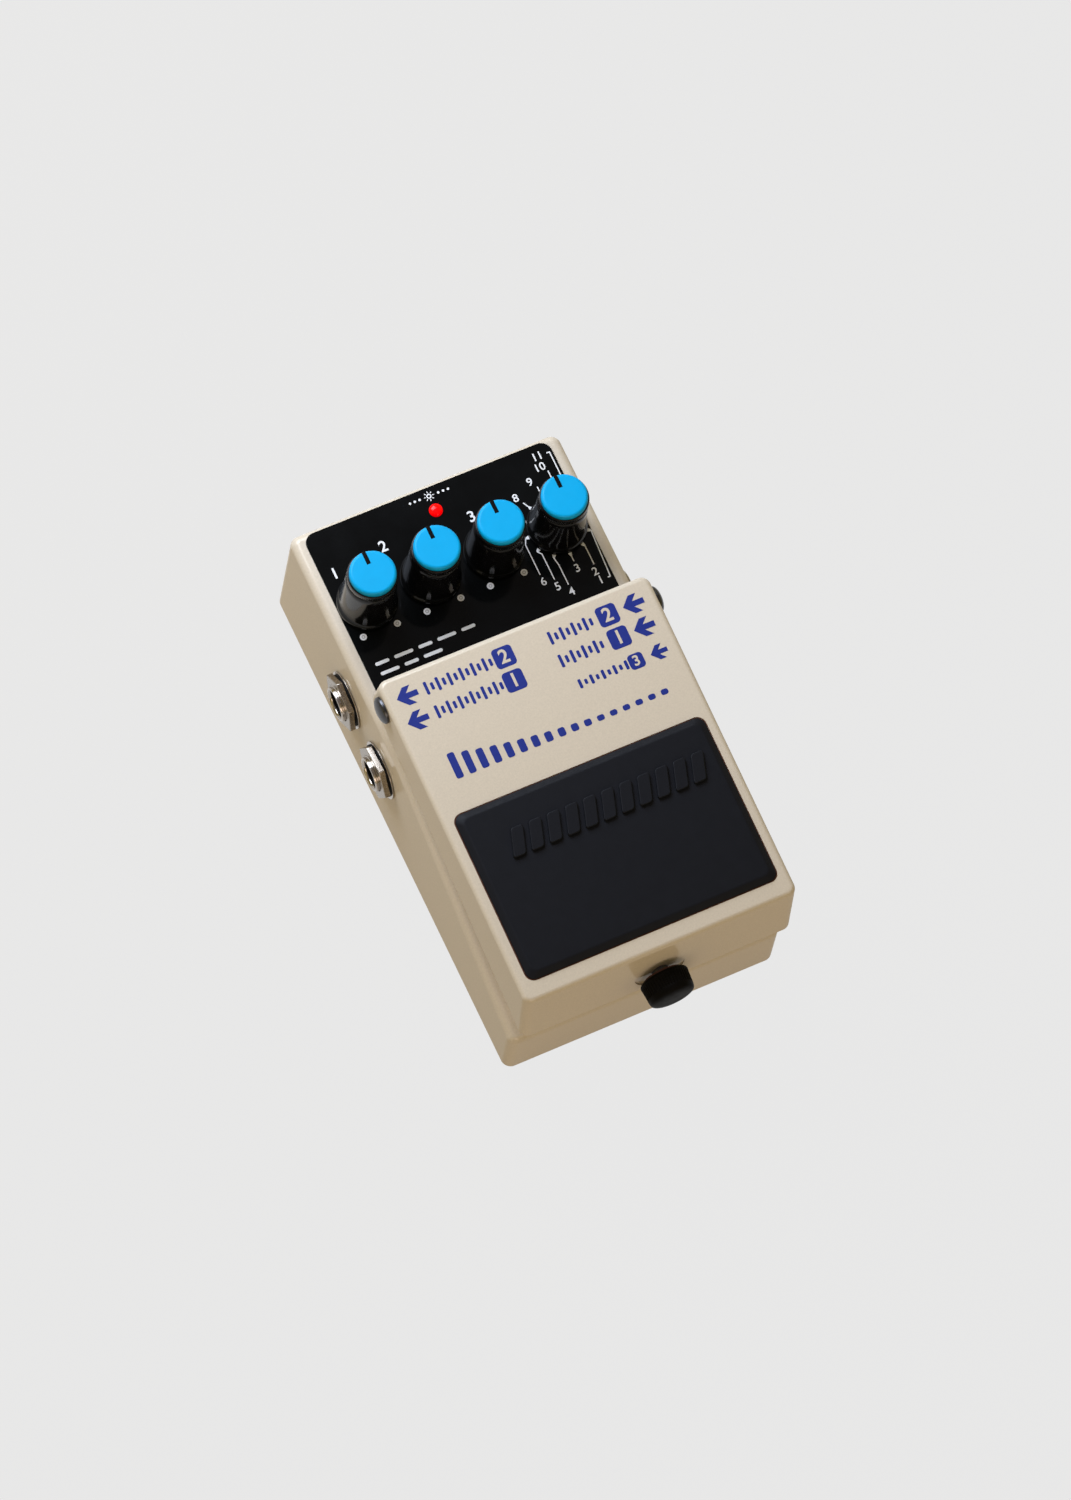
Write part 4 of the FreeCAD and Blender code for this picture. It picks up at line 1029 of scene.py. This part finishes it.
def knob_profile():
    """The body from the middle of its underside up to the seat of the cap."""
    top = KNOB_HEIGHT - CAP_DEPTH
    brim = top + COLLAR_RISE
    collar_foot = brim - COLLAR_HEIGHT
    seat = CAP_RADIUS + 0.05
    groove = COLLAR_RADIUS - 0.06
    ribs = COLLAR_RADIUS + 0.04
    foot = [(0, 1.0), (5.9, 1.0), (5.95, 0.75), (FOOT_RADIUS - 0.15, 0.7), (FOOT_RADIUS, 0.85),
            (FOOT_RADIUS, 1.75), (FOOT_RADIUS - 0.12, 1.95), (WAIST_RADIUS + 0.16, 2.25)]
    skirt = []
    skirt_top = COLLAR_RADIUS + 0.06
    for step in range(9):
        share = step / 8
        skirt.append((WAIST_RADIUS + (skirt_top - WAIST_RADIUS) * share,
                      WAIST_HEIGHT + (collar_foot - 0.25 - WAIST_HEIGHT) * share))
    collar = [(groove, collar_foot - 0.1), (groove, collar_foot), (ribs, collar_foot + 0.12),
              (ribs, brim - 0.25), (groove, brim - 0.06), (COLLAR_RADIUS - 0.16, brim), (seat, brim),
              (seat, top), (0, top)]
    return foot + skirt + collar, fluted(COLLAR_RIBS, 0.09, collar_foot + 0.1, brim - 0.2)


def knob_pointer():
    """The bar that fills the cap's slot and ends just below the cap's face."""
    half = POINTER_WIDTH / 2
    outer = CAP_RADIUS - 0.12
    bar = rounded(-half, half, POINTER_INNER, outer, 0.12, 3)
    crown = rounded(-half + 0.06, half - 0.06, POINTER_INNER + 0.06, outer - 0.08, 0.1, 3)
    foot = KNOB_HEIGHT - CAP_DEPTH - 0.3
    return stack([(bar, foot), (bar, KNOB_HEIGHT - 0.1), (crown, KNOB_HEIGHT - 0.04)])


def cap_outline(radius):
    """A disc with a slot that opens to the rear, as one outline."""
    half_slot = POINTER_WIDTH / 2 + POINTER_GAP
    inner = POINTER_INNER - POINTER_GAP
    mouth = math.degrees(math.asin(half_slot / radius))
    rim = arc(0, 0, radius, 90 + mouth, 450 - mouth, 90)
    return rim + [(half_slot, inner), (-half_slot, inner)]


def knob_cap():
    foot = KNOB_HEIGHT - CAP_DEPTH
    levels = [(CAP_RADIUS - 0.05, foot), (CAP_RADIUS, foot + 0.1), (CAP_RADIUS, KNOB_HEIGHT - CAP_ROUNDING)]
    for step in range(1, 7):
        angle = math.pi / 2 * step / 6
        levels.append((CAP_RADIUS - CAP_ROUNDING * (1 - math.cos(angle)),
                       KNOB_HEIGHT - CAP_ROUNDING * (1 - math.sin(angle))))
    return stack([(cap_outline(radius), height) for radius, height in levels])


def make_knob(name, x):
    place = on_deck(x, KNOB_ROW)
    profile, ribs = knob_profile()
    body = lathe(profile, 4 * COLLAR_RIBS, ribs)
    piece(name + "_knob_body", [body, knob_pointer()], place, looks["knob"], name + "_dial",
          [name + "_knob"])
    piece(name + "_knob_cap", [knob_cap()], place, looks["cap"], name + "_dial",
          [name + "_cap"])


# Side sockets: washer, six-sided nut, threaded bushing and housing, with near-black painted shade under the
# nut and in the bore

def jack_washer():
    low, high = JACK_WALL, JACK_WALL + WASHER_THICKNESS
    profile = [(WASHER_BORE, low), (WASHER_RADIUS - 0.1, low), (WASHER_RADIUS, low + 0.08),
               (WASHER_RADIUS, high - 0.06), (WASHER_RADIUS - 0.08, high), (WASHER_BORE, high)]
    return lathe(profile, 96, closed=True)


# A near-black ring filling the gap between washer and nut: painted shade of that gap
def jack_seal():
    low, high = JACK_WALL + WASHER_THICKNESS + 0.01, JACK_WALL + NUT_START - 0.02
    profile = [(WASHER_BORE, low), (SHADE_RING_RADIUS, low), (SHADE_RING_RADIUS, high), (WASHER_BORE, high)]
    return lathe(profile, 72, closed=True)


def jack_nut():
    corner = NUT_FLATS / 2 / math.cos(math.pi / 6)
    six_sides = arc(0, 0, corner, 0, 360, 6)[:-1]
    bore = disc(0, 0, JACK_THREAD + 0.06, 72)
    return prism(six_sides, JACK_WALL + NUT_START, JACK_WALL + NUT_END, [bore])


def jack_bushing():
    """The sleeve with its rounded rim, and the thread round it."""
    root = JACK_THREAD - 0.12
    bore = JACK_BORE - 0.03
    foot = JACK_WALL - 2.0
    rim = JACK_OUT
    sleeve = lathe([(bore, foot), (root, foot), (root, rim - 0.35), (JACK_THREAD - 0.25, rim - 0.05),
                    (JACK_THREAD - 0.45, rim), (JACK_BORE + 0.35, rim), (JACK_BORE + 0.05, rim - 0.3),
                    (bore, rim - 0.6)], 72, closed=True)
    ridge = thread(root, 0.2, JACK_THREAD_PITCH, JACK_WALL - 1.0, rim - 0.5)
    return [sleeve, ridge]


# A near-black sleeve inside the bushing's bore: painted shade in the hole
def jack_liner():
    inner, outer = JACK_BORE - 0.06, JACK_BORE - 0.035
    low, high = JACK_SHADE_LINER_IN, JACK_OUT - 0.75
    return lathe([(inner, low), (outer, low), (outer, high), (inner, high)], 72, closed=True)


def jack_body():
    """The housing behind the wall, and the dark floor that is seen through the bore."""
    outline = rounded(-JACK_BODY_HALF_WIDTH, JACK_BODY_HALF_WIDTH,
                      -JACK_BODY_HALF_HEIGHT, JACK_BODY_HALF_HEIGHT, 0.5, 3)
    shell = stack([(outline, JACK_BODY_OUT - JACK_BODY_DEPTH), (outline, JACK_BODY_OUT)])
    radius = JACK_BORE - 0.07
    low, high = JACK_BODY_OUT + 0.02, JACK_BODY_OUT + 0.3
    return [shell, lathe([(0, low), (radius, low), (radius, high), (0, high)], 40)]


def make_jacks():
    for index, (name, (side, y)) in enumerate(JACKS.items()):
        place = outward(side, y, JACK_HEIGHT)
        turned = place @ Matrix.Rotation(NUT_TURN + NUT_TURN_STEP * index, 4, "Z")
        piece(name + "_washer", [jack_washer()], place, looks["nickel"], "case", ["jack_washers"])
        # The ring under each nut and the liner in each bore are near-black painted shade
        piece(name + "_shade_ring", [jack_seal()], place, looks["bore"], "case", ["jack_washers"])
        nut = piece(name + "_nut", [jack_nut()], turned, looks["nut"], "case", ["jack_nuts"],
                    angle=24)
        soften(nut, 0.16)
        piece(name + "_bushing", jack_bushing(), place, looks["nickel"], "case", [name + "_jack"])
        piece(name + "_shade_liner", [jack_liner()], place, looks["bore"], "case")
        piece(name + "_body", jack_body(), place, looks["housing"], "case")


# Thumbscrew: ribs round the rear of the head, a smooth domed front

def make_thumbscrew():
    place = at(0, THUMB_BACK, THUMB_HEIGHT, math.pi / 2)
    ribbed_to = THUMB_LENGTH * 0.66
    shoulder = THUMB_LENGTH - THUMB_DOME
    bore_end = THUMB_LENGTH - 2.0
    profile = [(THUMB_BORE, 0.0), (4.9, 0.0), (5.35, 0.1), (5.62, 0.35), (5.72, 0.75), (5.72, 0.8),
               (5.69, 0.95), (5.62, 1.7), (5.56, 2.4), (5.5, ribbed_to - 0.3), (5.48, ribbed_to - 0.1),
               (5.47, ribbed_to), (5.42, ribbed_to + 0.5), (THUMB_FRONT_RADIUS, shoulder)]
    profile += dome(THUMB_FRONT_RADIUS, shoulder, THUMB_DOME, 8, 0.45)
    profile += [(0, bore_end), (THUMB_BORE, bore_end)]
    ribs = fluted(THUMB_RIBS, 0.17, 0.9, ribbed_to - 0.05)
    head = lathe(profile, 5 * THUMB_RIBS, ribs, closed=True)
    piece("thumbscrew_knob", [head], place, looks["thumb"], "thumbscrew",
          ["thumbscrew_head"])


# Lamp, hinge pins, spring, switch pusher and bottom screws

def make_lamp():
    """A round lens with a wider foot under the deck."""
    foot_radius = 1.9
    foot, shoulder, rim, rise = -6.4, -5.6, 0.45, 0.95
    profile = [(0, foot), (foot_radius, foot), (foot_radius, shoulder), (LAMP_RADIUS, shoulder),
               (LAMP_RADIUS, rim)]
    profile += dome(LAMP_RADIUS, rim, rise, 8)
    piece("indicator_lens", [lathe(profile, 48)], on_deck(0, LAMP_Y), looks["lens"], "case",
          ["indicator_lamp"])


def make_hinge_pin(name, side):
    """A shouldered pin whose head is a low dome with a short rim."""
    rim = HINGE_HEAD_IN + HINGE_HEAD_RIM
    profile = [(0, HINGE_INNER), (HINGE_SHANK - 0.25, HINGE_INNER), (HINGE_SHANK, HINGE_INNER + 0.25),
               (HINGE_SHANK, HINGE_STEP), (HINGE_SHOULDER, HINGE_STEP), (HINGE_SHOULDER, HINGE_HEAD_IN),
               (HINGE_HEAD, HINGE_HEAD_IN), (HINGE_HEAD, rim)]
    profile += dome(HINGE_HEAD, rim, HINGE_OUT - rim, 12)
    piece(name, [lathe(profile, 96)], outward(side, HINGE_Y, HINGE_Z), looks["dark_steel"], "hinge_pins",
          ["hinge_pins"])


def make_base_screw(name, x, y):
    """A round head with a cross recess, on a threaded shank."""
    face = -0.15
    under = -1.0
    cross = []
    for step in range(4):
        angle = step * 90
        cross += [clock(angle - 12, 1.55), clock(angle + 12, 1.55), clock(angle + 45, 0.55)]
    head = prism(disc(0, 0, SCREW_HEAD, 48), under, face, [cross[::-1]])
    recess_floor = prism(disc(0, 0, 1.7, 32), under, face - 0.5)
    shank = lathe([(0, -SCREW_LENGTH), (0.7, 0.5 - SCREW_LENGTH), (SCREW_SHANK, 1.2 - SCREW_LENGTH),
                   (SCREW_SHANK, under), (0, under)], 32)
    ridge = thread(SCREW_SHANK, 0.14, 0.8, 1.0 - SCREW_LENGTH, -2.2, 24)
    piece(name, [head, recess_floor, shank, ridge], at(x, y, 0, math.pi, "X"), looks["zinc"], "case",
          ["base_screws"], angle=30)


def make_small_parts():
    make_lamp()
    for name, side in (("left", -1), ("right", 1)):
        make_hinge_pin("hinge_pin_" + name, side)
    refined("spring_coil", "return_spring", looks["zinc"], "case", 60)
    refined("switch_pusher_post", "switch_pusher", looks["housing"], "pedal", 40)
    for index, (x, y) in enumerate([(-1, -1), (-1, 1), (1, -1), (1, 1)]):
        make_base_screw("base_screw_%d" % (index + 1), x * SCREW_X, y * SCREW_Y)


# Battery in its bay, with a moulded snap connector

def across_battery(half_y, half_z, inset, corner, steps):
    """An outline across the battery's length, drawn in by an inset."""
    return rounded(-half_z + inset, half_z - inset, -half_y + inset, half_y - inset, corner - inset, steps)


def make_battery():
    low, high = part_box("battery")
    middle = (low + high) / 2 / MM
    half = (high - low) / 2 / MM
    place = at(0, middle.y, middle.z, math.pi / 2, "Y")
    # Edges with a crimped groove near each end of the can, as pairs of inset and distance from the end
    crimp = [(0.9, 0.0), (0.35, 0.1), (0.0, 0.7), (0.18, 0.95), (0.0, 1.2)]
    levels = [(inset, low.x / MM + distance) for inset, distance in crimp]
    levels += [(inset, high.x / MM - distance) for inset, distance in reversed(crimp)]
    block = stack([(across_battery(half.y, half.z, inset, 1.9, 5), x) for inset, x in levels])
    piece("battery_block", [block], place, looks["jacket"], "case", ["battery"])

    low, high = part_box("battery_snap")
    half = (high - low) / 2 / MM
    levels = [(0.3, 0.0), (0.0, 0.3), (0.0, 2.2), (0.4, 2.9), (1.2, 3.2)]
    snap = stack([(across_battery(half.y, half.z, inset, 3.0, 6), low.x / MM + rise)
                  for inset, rise in levels])
    piece("snap_connector", [snap], place, looks["housing"], "case", ["battery_snap"])


# Finishes of the solids that stay as they are

FINISHES = {
    "base_rubber_sheet": "base_rubber",
    "battery_foam": "foam",
    "bottom_plate": "zinc",
    "control_nuts": "nickel",
    "foot_switch": "housing",
    "guide_bush": "housing",
    "hinge_washers": "nylon",
    "insulating_sheet": "sheet",
    "lamp_holder": "housing",
    "main_board": "board",
    "panel_board": "board",
    "panel_plate": "film",
    "power_inlet": "housing",
    "spring_seat": "zinc",
    "switch_board": "board",
    "switch_plunger": "nylon",
    "thumbscrew_shank": "dark_steel",
    "thumbscrew_washer": "fibre",
}


def paint_nodes():
    for node, look in FINISHES.items():
        paint(node, looks[look])
    for name in CONTROLS:
        paint(name + "_control", looks["can"])
        paint(name + "_shaft", looks["nickel"])


bpy.context.scene.view_settings.view_transform = "Standard"
place_camera()
make_stage()
make_shells()
make_tread()
make_treadle_print()
make_panel_print()
for control, control_x in zip(CONTROLS, KNOB_PLACES):
    make_knob(control, control_x)
make_jacks()
make_thumbscrew()
make_small_parts()
make_battery()
paint_nodes()
